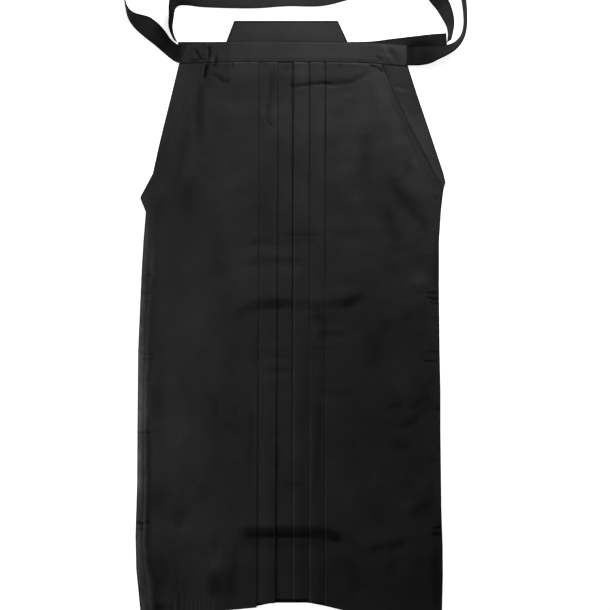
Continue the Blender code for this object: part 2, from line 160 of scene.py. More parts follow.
# Side edges: y, distance out from the middle line
LEFT_LOWER_SIDE = ((-310, 256.0), (-360, 259.0), (-500, 265.2), (-640, 266.6), (-730, 267.0),
                   (-821, 269.9), (-880, 268.6), (-915, 265.0), (-958, 261.0))
LEFT_FRONT_SIDE = ((14, 144.8), (-7, 154.3), (-191, 238.5), (-235, 262.0), (-260, 251.9), *LEFT_LOWER_SIDE)
LEFT_BACK_SIDE = ((0, 193.6), (-7, 195.4), (-54, 206.8), (-115, 222.0), (-150, 230.3), (-191, 239.3),
                  (-235, 251.0), (-260, 251.5), *LEFT_LOWER_SIDE)
RIGHT_LOWER_SIDE = ((-260, 260.2), (-310, 256.9), (-395, 256.8), (-500, 257.9), (-570, 259.4),
                    (-640, 259.4), (-776, 261.0), (-840, 263.2), (-890, 263.6), (-958, 262.0))
RIGHT_FRONT_SIDE = ((14, 150.5), (-4, 157.2), (-54, 178.0), (-115, 206.7), (-191, 246.2), (-208, 255.4),
                    (-222, 262.0), *RIGHT_LOWER_SIDE)
RIGHT_BACK_SIDE = ((0, 201.0), (-7, 203.2), (-36, 212.4), (-66, 222.3), (-115, 238.9), (-152, 251.2),
                   (-191, 264.2), (-208, 268.4), (-222, 264.6), *RIGHT_LOWER_SIDE)
# Hems: distance out from the middle line, y
LEFT_HEM = ((57, -945.5), (114, -951), (180, -955), (260, -957))
RIGHT_HEM = ((59, -943), (94, -951.5), (180, -955), (260, -957))
BACK_HEM = ((0, -938), (30, -938), (70, -946), (114, -950), (260, -958))
# Pleats from the outside to the middle: edge at the waist, edge at the hem, hem of the strip inside it,
# how dark the painted shadow line at its fold is, how light the painted highlight on its edge is lower down
LEFT_PLEATS = ((57.2, 59.6, -938.5, 0.55, 0.1), (24.3, 28.6, -931, 0.36, 0.35))
RIGHT_PLEATS = ((60.7, 59.2, -937, 1.1, 0.5), (32.9, 32.0, -931, 0.7, 0.15), (4.7, 3.0, -931, 0.95, 0.5))

# The front's last strip, up to the inner seam: distance out, shade
LEFT_TAIL = ((23.5, 0.45), (22.8, 0.3), (21.8, 0.1), (19, 0), (13, 0), (7, 0), (2, 0), (-0.6, 0.12),
             (-1.8, 0.45), (-2.8, 0.8), (-4, 0.9), (-7, 0.9), (-11.85, 0.9))
RIGHT_TAIL = ((12.15, 0.8),)
# The finely rippled stretch of the left hem, as distances out
FRILLS = (128.0, 222.0)
# Ends of the names of the solids that one front belt stands for
STRETCHES = ("", "_side", "_row", "_return")

# Belts: x, y of the lower edge, lean in degrees from flat, lift
BACK_LEFT_FLAT = ((-113.6, 35.4, 0, 0), (-150, 35.4, 0, 0), (-175, 35.4, 0, 0), (-196.2, 35.4, 0, 0))
BACK_LEFT_TOP = ((-197.8, 34.6, 86, 0), (-203.4, 47, 85, 0), (-206, 61, 83, 0), (-204, 78, 81, 0),
                 (-201.5, 91.5, 75, 0), (-193.9, 98.4, 55, 0), (-178.6, 98.6, 30, 0), (-154, 95.5, 8, 0),
                 (-105, 93.6, 0, 0), (-57, 93.6, 0, 0), (-7, 97, 0, 0), (52, 97.2, 0, 0), (97, 107.5, 0, 0),
                 (137, 119.6, 0, 0), (197, 133.5, 0, 0))
BACK_RIGHT_FLAT = ((99, 35.4, 0, 0), (139, 36.4, 0, 0), (170, 40.2, 0, 0), (211, 45.1, 0, 0), (245, 49, 0, 0),
                   (269.6, 50.6, 0, 0))
BACK_RIGHT_TOP = ((271.5, 34.7, 84, 0), (272.6, 48.5, 80, 0), (270.6, 60.7, 72, 0), (265.2, 71.5, 62, 0),
                  (253.1, 91, 50, 0), (238.5, 109, 42, 0), (226, 132, 36, 0), (213.5, 160, 30, 0),
                  (194, 187, 18, 0), (162, 206, 6, 0), (120, 214, 0, 0), (67, 215, 0, 0), (20, 213, 0, 0))
FRONT_LEFT = ((-194.2, -1.7, 2, 2.1), (-202.5, 1.6, 26, 1.8), (-211.5, 8.4, 44, 1), (-223.6, 19, 46, 0.2),
              (-235.8, 29.4, 34, 0), (-249.6, 39.9, 20, 0), (-263, 51, 22, 0), (-273.5, 62, 42, 0),
              (-281.5, 74.5, 64, 0), (-285.8, 89, 80, 0), (-287.8, 107.5, 86, 0), (-288.2, 140, 84, 0),
              (-287, 175, 79, 0), (-284.5, 212, 70, 0), (-282.5, 250, 60, 0), (-281, 290, 50, 0),
              (-277, 330, 44, 0), (-266, 366, 38, 0), (-244, 395, 30, 0), (-208, 412, 16, 0),
              (-160, 418, 4, 0), (-100, 419, 0, 0), (0, 417, 0, 0), (110, 417, 0, 0), (190, 418, 4, 0),
              (235, 420, 24, 0), (262, 427, 55, 0), (276, 441, 80, 0), (277, 458, 84, 0), (264, 472, 66, 0),
              (238, 480, 34, 0), (205, 483, 8, 0), (150, 483, 0, 0), (-80, 478, 0, 0))
FRONT_RIGHT = ((200.6, 29.3, 0, 2), (220, 28.6, 5, 2), (239, 28.5, 21, 2), (251, 28.5, 37, 2),
               (263, 28.7, 51, 2), (275.6, 31, 63, 1.8), (287.8, 38.1, 74, 0.9), (296.4, 50.3, 82, 0.2),
               (299.9, 69.3, 85, 0), (298.4, 94, 84, 0), (293, 125, 80, 0), (286, 160, 74, 0),
               (275.6, 197.6, 64, 0), (257, 232, 50, 0), (226, 256, 30, 0), (182, 266, 12, 0),
               (120, 268.5, 2, 0), (50, 267, 0, 0), (-54, 265.5, 0, 0), (-132, 267, 5, 0), (-175, 272, 30, 0),
               (-206, 286, 65, 0), (-222, 308, 84, 0), (-222, 333, 84, 0), (-206, 354, 65, 0),
               (-175, 366, 32, 0), (-132, 371, 6, 0), (-54, 371, 0, 0), (68, 368, 0, 0), (258, 372, 0, 0))

# Creases of the front, by kind: width, depth, painted shade in it (painted light below zero), then its line
CREASES = {
    Kind.TROUGH: (
        (2.5, 1.4, 0.6, (-143, 30), (-141, 16), (-142, 6), (-144, 2)),
        (2.9, 1.5, 0.66, (-143, 0), (-146, -8), (-149, -22), (-151, -34)),
        (2.6, 0.9, 0.3, (-144, -4), (-148, -14), (-149, -26)),
        (2.9, 0.9, 0.42, (-167, 25), (-162, 14), (-157, 6), (-154, 3)),
        (2.8, 1.1, 0.5, (-130, 12), (-129, 2), (-132, -6), (-137, -12)),
        (2.6, 0.7, 0.2, (-180, 4), (-168, 2), (-156, 4), (-146, 2)),
        (3.4, 1, 0.42, (-166, -2), (-161, -8), (-161, -18)),
        (2.4, 0.6, 0.26, (-183, -8), (-175, -11), (-168, -8)),
        (2.1, 0.4, 0.15, (-187, -2), (-176, -5), (-166, -3)),
        (3.4, 0.7, 0.24, (-139, -20), (-128, -26), (-119, -31)),
        (4.6, 0.8, 0.36, (-127, -30), (-117, -34), (-104, -34)),
        (3.5, 0.6, 0.1, (-179, -7), (-172, -21), (-165, -31)), (2.3, 0.8, 0.4, (146, 10), (152, 6), (160, 2)),
        (5.5, 0.8, 0.26, (168, 24), (178, 12), (186, 3), (196, 0)),
        (2.6, 0.9, 0.44, (134, -5), (142, -9), (150, -9)),
        (2.3, 0.9, 0.46, (148, -10), (155, -14), (160, -20)),
        (2.8, 0.5, 0.14, (112, -1), (128, -3), (140, -3)),
        (4.6, 0.8, 0.26, (46, -38), (75, -39), (102, -36), (123, -27), (144, -14)),
        (7.5, 1, 0.17, (-158, -26), (-161, -60), (-161, -88), (-162, -126), (-164, -150)),
        (8.7, 0.8, 0.12, (-182, -101), (-194, -170), (-205, -232)),
        (3.1, 0.8, 0.32, (-31, -7), (-35, -30), (-36, -62), (-38, -76)),
        (2, 0.7, 0.44, (-36, -66), (-41, -82), (-42, -96), (-37, -107), (-30, -112), (-24, -108)),
        (2.1, 0.4, 0.2, (-26, -6), (-28, -34), (-27, -70)), (3.5, 0.4, 0.1, (-17, -7), (-19, -42)),
        (1.9, 0.6, 0.3, (-102, 0), (-102, -13)), (1.7, 0.5, 0.22, (-75, 0), (-74, -10)),
        (1.9, 0.6, 0.28, (-7, -6), (-8, -20)), (1.7, 0.5, 0.2, (-5, 1), (-6, -5)),
        (2.4, 0.4, 0.1, (-43, -3), (-43, -17)), (2.8, 0.5, 0.1, (81, -3), (85, -14)),
        (4.4, 0.5, 0.2, (-75, -314), (-50, -312), (-26, -310)),
        (3.6, 0.45, 0.24, (-22, -300), (16, -299), (64, -300)),
        (3.6, 0.4, 0.12, (-10, -310), (20, -311), (52, -312)), (2.8, 0.35, 0.2, (-81, -317), (-55, -316)),
        (2.8, 0.35, 0.14, (-26, -317), (-12, -314)),
        (5.6, 0.4, 0.1, (-66, -418), (-50, -416), (-20, -417), (10, -417)),
        (8, 0.5, 0.26, (84, -421), (100, -418), (112, -412), (126, -403)),
        (10.4, 0.6, 0.2, (47, -433), (54, -465), (52, -491)),
        (2.3, 0.4, 0.16, (-61, -498), (-28, -498), (2, -499)),
        (2.6, 0.35, 0.12, (33, -496), (68, -498), (94, -499)),
        (5.2, 0.5, 0.16, (-50, -537), (-19, -534), (9, -537)),
        (5.2, 0.45, 0.14, (36, -572), (71, -576), (106, -577)),
        (5, 0.6, 0.1, (-78, -821), (-30, -821), (20, -822), (50, -823)),
        (6.9, 0.5, 0.12, (68, -822), (94, -830), (123, -839)),
        (6, 0.6, 0.2, (50, -570), (51, -600), (49, -640), (46, -690), (45, -725), (42, -765)),
        (5.2, 0.5, 0.16, (-68, -586), (-68, -655), (-71, -721)), (5.2, 0.5, 0.12, (-61, -465), (-62, -537)),
        (3.5, 0.4, 0.14, (-28, -655), (-21, -681), (-24, -718)),
        (12.1, 0.8, 0.16, (123, -114), (127, -170), (123, -222)),
        (10.4, 0.8, 0.18, (168, -208), (196, -243), (232, -288)), (6.9, 0.5, 0.12, (203, -170), (201, -201)),
        (12.1, 0.7, 0.2, (161, -248), (175, -288), (189, -326)),
        (12.1, 0.6, 0.16, (185, -444), (220, -440), (251, -433)),
        (13.9, 0.7, 0.16, (140, -465), (147, -503), (144, -537)),
        (6.9, 0.6, 0.2, (165, -603), (182, -596), (199, -595)),
        (5.9, 0.6, 0.2, (206, -607), (224, -589), (251, -579)),
        (6.9, 0.6, 0.14, (185, -634), (210, -628), (224, -614)),
        (8.7, 0.6, 0.14, (175, -676), (189, -666), (210, -673)), (2.1, 0.3, 0.2, (109, -655), (109, -667)),
        (8.7, 0.4, 0.12, (140, -849), (165, -841), (189, -840), (210, -829)),
        (10.4, 0.6, 0.12, (106, -863), (113, -898), (109, -933)),
        (15.6, 0.7, 0.14, (-175, -198), (-182, -239), (-175, -277)),
        (12.1, 0.6, 0.12, (-130, -295), (-127, -347), (-120, -385)),
        (12.1, 0.6, 0.1, (-206, -305), (-203, -347), (-210, -399)),
        (6.9, 0.6, 0.16, (-132, -576), (-128, -607), (-130, -621)),
        (8.7, 0.5, 0.1, (-120, -624), (-102, -634), (-88, -655)), (5.2, 0.35, 0.1, (-99, -593), (-95, -617)),
        (8.7, 0.6, 0.12, (-185, -773), (-192, -797), (-185, -811)),
        (10.4, 0.8, 0.2, (-133, -884), (-130, -908), (-133, -933)),
        (8.7, 0.7, 0.08, (-94, -856), (-97, -891), (-102, -940)),
        (17.3, 0.8, 0.08, (-227, -843), (-220, -881), (-217, -915)),
        (13.9, 0.6, 0.12, (-244, -558), (-231, -589), (-238, -621)),
        (12.1, 0.5, 0.1, (-95, -482), (-109, -520), (-102, -558)),
        (2.1, 0.7, 0.56, (262, -399), (243, -400), (227, -399)),
        (2.1, 0.8, 0.62, (262, -407), (248, -411), (234, -406)), (1.7, 0.5, 0.42, (262, -420), (238, -416)),
        (1.7, 0.4, 0.42, (260, -444), (246, -444)), (1.9, 0.5, 0.48, (260, -501), (236, -501)),
        (1.9, 0.5, 0.48, (260, -520), (234, -518), (227, -513)), (2.1, 0.5, 0.28, (260, -603), (241, -600)),
        (2.4, 0.6, 0.56, (265, -806), (243, -808)), (2.4, 0.6, 0.56, (265, -818), (241, -818)),
        (2.4, 0.5, 0.28, (258, -232), (248, -238)), (2.3, 0.5, 0.28, (258, -690), (238, -687)),
        (2.6, 0.8, 0.4, (-264, -364), (-251, -371), (-241, -364)),
        (2.4, 0.7, 0.42, (-262, -395), (-250, -402), (-241, -395)),
        (2.3, 0.6, 0.42, (-265, -418), (-248, -413)),
        (2.1, 0.8, 0.56, (-265, -501), (-250, -506), (-236, -503)),
        (2.1, 0.6, 0.42, (-264, -511), (-248, -517), (-238, -510)),
        (1.9, 0.8, 0.62, (-269, -641), (-253, -643), (-241, -641)),
        (2.1, 0.8, 0.62, (-270, -796), (-257, -801), (-241, -796)),
        (2.1, 0.5, 0.42, (-269, -811), (-251, -808)), (1.9, 0.5, 0.28, (-264, -548), (-244, -551)),
        (2.1, 0.5, 0.28, (-269, -707), (-248, -714)), (1.9, 0.4, 0.28, (-267, -465), (-250, -472)),
    ),
    Kind.PRESS: (
        (2.8, 0.8, 0.42, (-5, -42), (14, -42), (33, -39), (57, -37), (75, -38)),
        (10, 0.8, 0.22, (-100, -440), (-78, -431), (-57, -424), (-38, -421), (0, -420), (12, -420)),
        (9, 0.7, 0.17, (6, -424), (40, -424), (75, -422), (102, -418), (118, -412)),
        (10.5, 1.3, 0.47, (-90, -820), (-80, -818), (-50, -817), (-2, -817), (47, -818), (78, -823),
         (96, -827)),
    ),
    Kind.RIDGE: (
        (3, 0.9, -0.2, (-137, 6), (-139, -2)), (3.2, 0.7, -0.12, (-145, 33), (-146, 24)),
        (4.5, 0.8, 0, (-159, 7), (-154, -24)), (4.2, 0.7, 0, (-135, 26), (-139, -14)),
        (3.2, 0.5, -0.12, (158, 30), (166, 14), (174, 4)), (3.5, 0.5, 0, (154, 14), (168, 7), (179, -7)),
        (6.9, 0.35, 0, (7, -50), (59, -50), (102, -45)),
        (12.1, 0.7, 0, (-144, -49), (-147, -101), (-153, -153)),
        (12.1, 0.6, 0, (-196, -75), (-210, -153), (-222, -205)),
        (4.2, 0.5, 0, (-50, -31), (-52, -87), (-43, -114)),
        (8.7, 0.7, 0, (-88, -435), (-36, -432), (16, -433)), (6.9, 0.5, 0, (-50, -555), (-2, -551)),
        (8.7, 0.6, 0, (-71, -837), (-2, -836), (59, -837)),
        (15.6, 0.6, 0, (81, -101), (80, -170), (78, -257)),
        (10.4, 0.6, 0, (185, -201), (213, -232), (241, -260)), (6.9, 0.5, 0, (210, -153), (213, -187)),
        (13.9, 0.8, 0, (203, -381), (220, -383), (244, -380)),
        (8.7, 0.8, 0, (185, -628), (213, -610), (231, -593), (255, -586)),
        (6.9, 0.5, 0, (220, -565), (241, -555), (255, -544)),
        (9, 0.3, 0, (175, -863), (192, -849), (203, -839)),
        (10.4, 0.6, 0, (189, -780), (224, -768), (251, -759)),
        (20.8, 0.8, 0, (-154, -387), (-151, -433), (-153, -482)),
        (12.1, 0.6, 0, (-101, -369), (-95, -395), (-92, -413)), (6.9, 0.6, 0, (-133, -530), (-128, -551)),
        (10.4, 0.6, 0, (-218, -794), (-206, -768), (-189, -742)),
        (10.4, 0.6, 0, (-120, -843), (-123, -867), (-120, -898)),
    ),
    Kind.STEP: (
        (6.9, 0.5, 0.05, (-95, -347), (-26, -343), (36, -347)),
        (5.2, 0.45, 0.05, (47, -470), (75, -470), (102, -470)),
        (6.2, 0.45, 0.05, (-75, -510), (-36, -506), (9, -510)),
        (5.2, 0.4, 0.04, (-12, -732), (12, -732), (26, -733)),
        (9, 0.3, 0.03, (106, -839), (140, -844), (175, -836), (210, -829)),
    ),
}
# Broad swells of the front: x, y, half width, half length, turn in degrees, height
SWELLS = (
    (-150, -330, 60, 130, 0, 0.9), (-205, -560, 26, 150, 0, -0.7), (-120, -640, 55, 120, 12, 0.8),
    (-165, -860, 45, 60, -20, -0.8), (-95, -900, 22, 60, 0, -0.6), (110, -190, 40, 110, 0, 0.9),
    (170, -330, 45, 120, 18, -0.8), (215, -385, 26, 26, 0, 0.8), (150, -560, 60, 110, -15, -0.7),
    (205, -700, 40, 90, 25, 0.8), (130, -800, 50, 60, 0, -0.6), (190, -900, 45, 40, 30, -0.8),
    (0, -650, 30, 160, 0, -0.4), (95, -880, 28, 60, 0, 0.5),
)
# Broad patches of painted shade on the front, mixed with uneven tone of the cloth, and painted light below
# zero: x, y, half width, half length, turn in degrees, shade
PAINTED_SHADE_AND_TONES = (
    (-180, 16, 18, 20, 0, 0.26), (-150, 10, 34, 40, 0, 0.1), (18, -20, 16, 18, 0, -0.2),
    (60, -14, 130, 20, 0, -0.4), (-60, -12, 70, 14, 0, -0.24), (60, -26, 18, 12, 0, -0.12),
    (140, -34, 40, 26, 20, -0.14), (-215, -10, 20, 16, 0, 0.1), (140, -152, 22, 34, -8, 0.16),
    (88, -196, 26, 34, 0, -0.14), (185, -225, 14, 40, 35, 0.14), (150, -245, 80, 46, 0, 0.12),
    (150, -590, 100, 250, 0, 0.2), (18, -150, 14, 60, 0, 0.1), (-184, -239, 24, 44, 0, 0.16),
    (-102, -222, 30, 34, 0, -0.08), (-36, -190, 26, 70, 0, 0.08), (-232, -262, 10, 30, -20, 0.16),
    (-123, -378, 18, 40, 12, 0.1), (-164, -410, 50, 80, 0, -0.2), (94, -296, 24, 10, 0, 0.24),
    (188, -322, 26, 9, 0, 0.22), (175, -357, 13, 10, 0, 0.2), (220, -381, 22, 11, 0, -0.4),
    (85, -350, 28, 26, 0, -0.14), (230, -279, 6, 12, 30, 0.3), (226, -342, 16, 7, 0, 0.2),
    (160, -456, 14, 18, 0, 0.26), (200, -450, 30, 10, 0, 0.2), (60, -440, 36, 20, 0, 0.14),
    (128, -500, 30, 60, 0, 0.1), (215, -600, 30, 60, -30, 0.12), (190, -560, 14, 20, 30, -0.12),
    (160, -640, 30, 40, 10, 0.12), (110, -700, 30, 40, 0, 0.1), (146, -721, 10, 16, 0, -0.16),
    (97, -756, 14, 20, 0, -0.16), (222, -738, 15, 32, -36, -0.42), (200, -772, 14, 16, -25, -0.26),
    (226, -770, 8, 26, -58, 0.3), (110, -885, 90, 46, 0, 0.26), (144, -849, 7, 9, 0, 0.3),
    (184, -839, 19, 8, 25, 0.22), (172, -872, 7, 20, -10, 0.22), (252, -890, 9, 60, 0, 0.6),
    (205, -925, 60, 30, 0, 0.2), (230, -700, 40, 200, 0, 0.08), (150, -790, 16, 20, 0, 0.2),
    (-42, -672, 13, 60, 0, 0.2), (-150, -900, 70, 50, 0, 0.1), (-44, -62, 70, 22, 0, -0.12),
    (-40, -150, 16, 60, 0, -0.12), (-158, -500, 40, 76, 0, -0.14), (-228, -560, 10, 110, 0, 0.2),
    (-132, -638, 14, 44, 8, 0.16), (-190, -660, 26, 50, 0, -0.08), (-90, -600, 22, 90, 0, 0.12),
    (-132, -768, 15, 26, 0, -0.14), (-184, -786, 8, 13, -20, 0.26), (-196, -812, 36, 11, 0, -0.2),
    (-130, -838, 5, 15, 0, 0.24), (-133, -864, 16, 14, 0, -0.26), (-222, -886, 28, 56, 0, 0.3),
    (-204, -912, 30, 44, 0, 0.26), (-226, -750, 20, 40, 0, 0.3), (-118, -910, 21, 26, 0, 0.42),
    (-94, -880, 11, 60, 0, 0.2), (-60, -910, 26, 40, 0, 0.1), (-160, -880, 12, 30, 35, -0.1),
    (0, -880, 60, 36, 0, 0.08), (-28, -424, 30, 8, 0, 0.24), (-72, -428, 16, 10, 20, 0.1),
    (43, -432, 10, 15, 0, 0.2), (45, -463, 8, 9, 0, -0.22), (75, -440, 16, 22, 0, 0.14),
    (95, -426, 15, 6, 0, 0.16), (92, -396, 22, 9, 0, -0.2), (-30, -396, 32, 9, 0, -0.14),
    (-88, -404, 18, 16, 0, -0.2), (-20, -834, 66, 12, 0, 0.36), (58, -53, 78, 11, 0, -0.5),
    (-254, -240, 8, 14, 0, -0.5), (-257, -490, 12, 34, 0, -0.4), (-256, -590, 12, 60, 0, -0.7),
    (-265, -740, 9, 40, 0, 0.25), (-265, -790, 9, 26, 0, 0.4), (-264, -912, 13, 34, 0, 0.5),
    (-236, -948, 22, 8, 0, 0.35), (255, -345, 8, 46, 0, 0.26), (40, -832, 26, 5, 0, 0.3),
    (-66, -833, 16, 7, 0, 0.24), (-30, -424, 24, 5, 0, 0.2), (-72, -340, 24, 44, 0, -0.28),
    (-228, -770, 18, 90, 0, 0.2), (143, -36, 13, 34, 0, 0.2), (-255, -590, 10, 80, 0, -0.36),
    (-262, -916, 14, 30, 0, 0.3), (-232, -944, 26, 10, 0, 0.3), (-266, -780, 7, 24, 0, 0.35),
    (256, -740, 8, 22, 0, -0.3), (258, -803, 6, 10, 0, 0.35), (250, -368, 10, 26, 0, 0.22),
)
# Patches of painted shade on the belts, and painted light below zero, in the same columns
FRONT_LEFT_PAINTED_SHADE = ((-210, 32, 9, 28, 34, 0.6), (-252, 62, 40, 40, 0, -0.2), (-203, 12, 5, 22, 0, -0.2),
                    (-187, 24, 8, 14, 0, -0.4), (-226, 22, 12, 12, 0, 0.45), (-222, 54, 12, 10, 0, 0.45),
                    (-278, 78, 13, 16, 0, 0.7), (-232, 28, 13, 14, 0, 0.25))
FRONT_RIGHT_PAINTED_SHADE = ((206, 8, 8, 40, 0, 0.34), (232, 8, 24, 24, 0, 0.6), (276, 24, 34, 30, 0, 0.3),
                     (206, 30, 11, 12, 0, 0.25))
BACK_LEFT_PAINTED_SHADE = ((-204, 66, 18, 44, 0, 1.6), (-10, 100, 176, 40, 0, -0.75))
BACK_RIGHT_PAINTED_SHADE = ((216, 32, 22, 11, 8, 0.75), (240, 31, 18, 9, 8, 0.5), (262, 44, 22, 20, 8, 0.2))
BACK_RIGHT_TOP_PAINTED_LIGHT = ((270, 88, 14, 20, 0, -0.7),)


def smooth_step(value: np.ndarray | float) -> np.ndarray:
    """An S-shaped ramp from 0 to 1.

    Args:
        value: Places on the ramp, clipped to 0 and 1.

    Returns:
        The ramp's height at each place.
    """
    share = np.clip(value, 0.0, 1.0)
    return share * share * (3.0 - 2.0 * share)


def bell(value: np.ndarray, middle: float, width: float) -> np.ndarray:
    """A rounded peak of height 1.

    Args:
        value: Places.
        middle: Where the peak is.
        width: Its half width.

    Returns:
        The peak's height at each place.
    """
    return np.exp(-((value - middle) / width) ** 2)


def read_table(table: Table, at: np.ndarray | float, column: int = 1) -> np.ndarray:
    """A column of a table, read between its rows.

    Args:
        table: Rows whose first column is the place.
        at: Places to read at.
        column: Number of the column.

    Returns:
        The column's values at those places.
    """
    rows = sorted(table)
    return np.interp(at, [row[0] for row in rows], [row[column] for row in rows])


@dataclass(frozen=True)
class Crease:
    """One crease along a line, fading out at both of its ends."""

    kind: Kind
    width: float
    depth: float
    shade: float
    path: Table

    def press(self, x: np.ndarray, y: np.ndarray, height: np.ndarray, shade: np.ndarray) -> None:
        """Adds this crease to the cloth's height and shade.

        Args:
            x: Across, in mm.
            y: Along, in mm.
            height: Heights that the crease is added to.
            shade: Shades that the crease is added to.
        """
        line = np.array(self.path, float)
        reach = 4.0 * self.width
        low, high = line.min(0) - reach, line.max(0) + reach
        near = (x > low[0]) & (x < high[0]) & (y > low[1]) & (y < high[1])
        if not near.any():
            return
        spots = np.stack([x[near], y[near]], 1)
        steps = np.diff(line, axis=0)
        lengths = np.linalg.norm(steps, axis=1)
        starts = np.concatenate([[0.0], np.cumsum(lengths)])
        away = np.full(len(spots), np.inf)
        side = np.zeros(len(spots))
        along = np.zeros(len(spots))
        for start, step, length, begun in zip(line, steps, lengths, starts):
            to_spot = spots - start
            share = np.clip(to_spot @ step / length ** 2, 0.0, 1.0)
            gap = np.linalg.norm(to_spot - share[:, None] * step, axis=1)
            closer = gap < away
            away = np.where(closer, gap, away)
            turn = np.sign(step[0] * to_spot[:, 1] - step[1] * to_spot[:, 0])
            side = np.where(closer, turn, side)
            along = np.where(closer, (begun + share * length) / starts[-1], along)
        press_kind_and_painted_shade = self.kind is Kind.PRESS
        tip = PRESS_TIP if press_kind_and_painted_shade else CREASE_TIP
        fade = smooth_step(along / tip) * smooth_step((1.0 - along) / tip)
        fade = np.maximum(fade, TIP_SHARE * (along > 0.0) * (along < 1.0))
        rounded = np.exp(-(away / self.width) ** (4 if press_kind_and_painted_shade else 2))
        if self.kind is Kind.STEP:
            place = side * away / self.width
            shape = place * np.exp(0.5 - 0.5 * place ** 2)
        else:
            shape = rounded if self.kind is Kind.RIDGE else -rounded
        height[near] += CREASE_GAIN * self.depth * fade * shape
        # Painted shade along the crease; a shade below zero paints light on it
        shade[near] += SHADE_GAIN * self.shade * fade * rounded


@dataclass(frozen=True)
class Unevenness:
    """Slow waves in all directions that keep cloth from lying dead flat."""

    height: float
    wavelength: float
    waves: int
    seed: int

    def at(self, x: np.ndarray, y: np.ndarray) -> np.ndarray:
        """The waves' height.

        Args:
            x: Across, in mm.
            y: Along, in mm.

        Returns:
            Heights in mm, about zero on average.
        """
        rng = np.random.RandomState(self.seed)
        total = np.zeros_like(x)
        for _ in range(self.waves):
            turn, phase, stretch = rng.uniform((0.0, 0.0, 0.6), (math.tau, math.tau, 1.8))
            place = x * math.cos(turn) + y * math.sin(turn)
            total += np.sin(place * math.tau / (self.wavelength * stretch) + phase)
        return self.height * total / math.sqrt(self.waves)


@dataclass(frozen=True)
class Relief:
    """All that bends a piece of cloth away from its plain form, and the shade painted on it, with uneven tone.
    """

    creases: tuple[Crease, ...] = ()
    swells: Table = ()
    painted_shade_and_tones: Table = ()
    waves: tuple[Unevenness, ...] = ()

    @staticmethod
    def mound(x: np.ndarray, y: np.ndarray, row: Row) -> np.ndarray:
        """One broad, rounded rise.

        Args:
            x: Across, in mm.
            y: Along, in mm.
            row: Middle x and y, half width, half length, turn in degrees, rise.

        Returns:
            The rise at each place.
        """
        middle_x, middle_y, half_width, half_length, turn, rise = row
        angle = math.radians(turn)
        across = (x - middle_x) * math.cos(angle) + (y - middle_y) * math.sin(angle)
        ahead = (y - middle_y) * math.cos(angle) - (x - middle_x) * math.sin(angle)
        return rise * np.exp(-(across / half_width) ** 2 - (ahead / half_length) ** 2)

    def at(self, x: np.ndarray, y: np.ndarray) -> tuple[np.ndarray, np.ndarray]:
        """Height and shade of the relief.

        Args:
            x: Across, in mm.
            y: Along, in mm.

        Returns:
            Heights in mm, and painted shade mixed with uneven tone: 1 is darkest, below 0 is lighter than
            plain.
        """
        height = np.zeros_like(x)
        shade = np.zeros_like(x)
        for crease in self.creases:
            crease.press(x, y, height, shade)
        for row in self.swells:
            height += self.mound(x, y, row)
        for row in self.painted_shade_and_tones:
            shade += self.mound(x, y, row)
        for wave in self.waves:
            height += wave.at(x, y)
        return height, shade


FRONT_RELIEF = Relief(tuple(Crease(kind, width, depth, shade, path)
                            for kind, rows in CREASES.items() for width, depth, shade, *path in rows),
                      SWELLS, PAINTED_SHADE_AND_TONES, (Unevenness(0.16, 46.0, 14, 5), Unevenness(0.30, 120.0, 10, 11)))
# The back's creases and patches carry painted shade, and painted light below zero
BACK_RELIEF = Relief((Crease(Kind.TROUGH, 3.2, 0.6, 0.16, ((176, -38), (190, -42), (206, -44))),
                      Crease(Kind.RIDGE, 3.5, 0.5, -0.1, ((178, -46), (192, -51), (208, -53))),
                      Crease(Kind.TROUGH, 6.0, 0.5, 0.12, ((200, -70), (214, -92), (228, -120)))),
                     (), ((178, -10, 24, 20, 0, -0.12), (-215, -90, 18, 60, 10, 0.06)),
                     (Unevenness(0.10, 60.0, 12, 23),))
BELT_RELIEF = Relief(waves=(Unevenness(0.12, 34.0, 10, 31),))


def add_object(name: str, data: bpy.types.ID) -> bpy.types.Object:
    """Puts an object of this name with these data into the scene and returns it."""
    made = bpy.data.objects.new(name, data)
    bpy.context.scene.collection.objects.link(made)
    return made


class Nodes:
    """Short ways to add nodes to a shader tree."""

    def __init__(self, tree: bpy.types.NodeTree) -> None:
        """Keeps the tree."""
        self.tree = tree

    def put(self, value: object, place: bpy.types.NodeSocket) -> None:
        """Feeds an input.

        Args:
            value: A socket to link, or a plain value to set.
            place: The input.
        """
        if isinstance(value, bpy.types.NodeSocket):
            self.tree.links.new(value, place)
        else:
            place.default_value = value

    def add(self, kind: str, values: dict | None = None, **settings) -> bpy.types.Node:
        """Adds a node.

        Args:
            kind: The node's type after "ShaderNode".
            values: What feeds its inputs, by their name or number.
            **settings: Its own settings.

        Returns:
            The node.
        """
        node = self.tree.nodes.new("ShaderNode" + kind)
        for name, value in settings.items():
            setattr(node, name, value)
        for place, value in (values or {}).items():
            self.put(value, node.inputs[place])
        return node

    def math(self, operation: str, *values: object) -> bpy.types.NodeSocket:
        """The output of a math node with this operation, fed with these values in order."""
        return self.add("Math", dict(enumerate(values)), operation=operation).outputs[0]

    def span(self, value: object, low: float, high: float, start: float = 0.0, end: float = 1.0,
             clamp: bool = True) -> bpy.types.NodeSocket:
        """Takes a value from one range to another.

        Args:
            value: What feeds it.
            low: The result at the range's start.
            high: The result at its end.
            start: Where the range starts.
            end: Where it ends.
            clamp: Whether the result stays inside.

        Returns:
            The result.
        """
        reach = {"Value": value, "To Min": low, "To Max": high, "From Min": start, "From Max": end}
        return self.add("MapRange", reach, clamp=clamp).outputs["Result"]


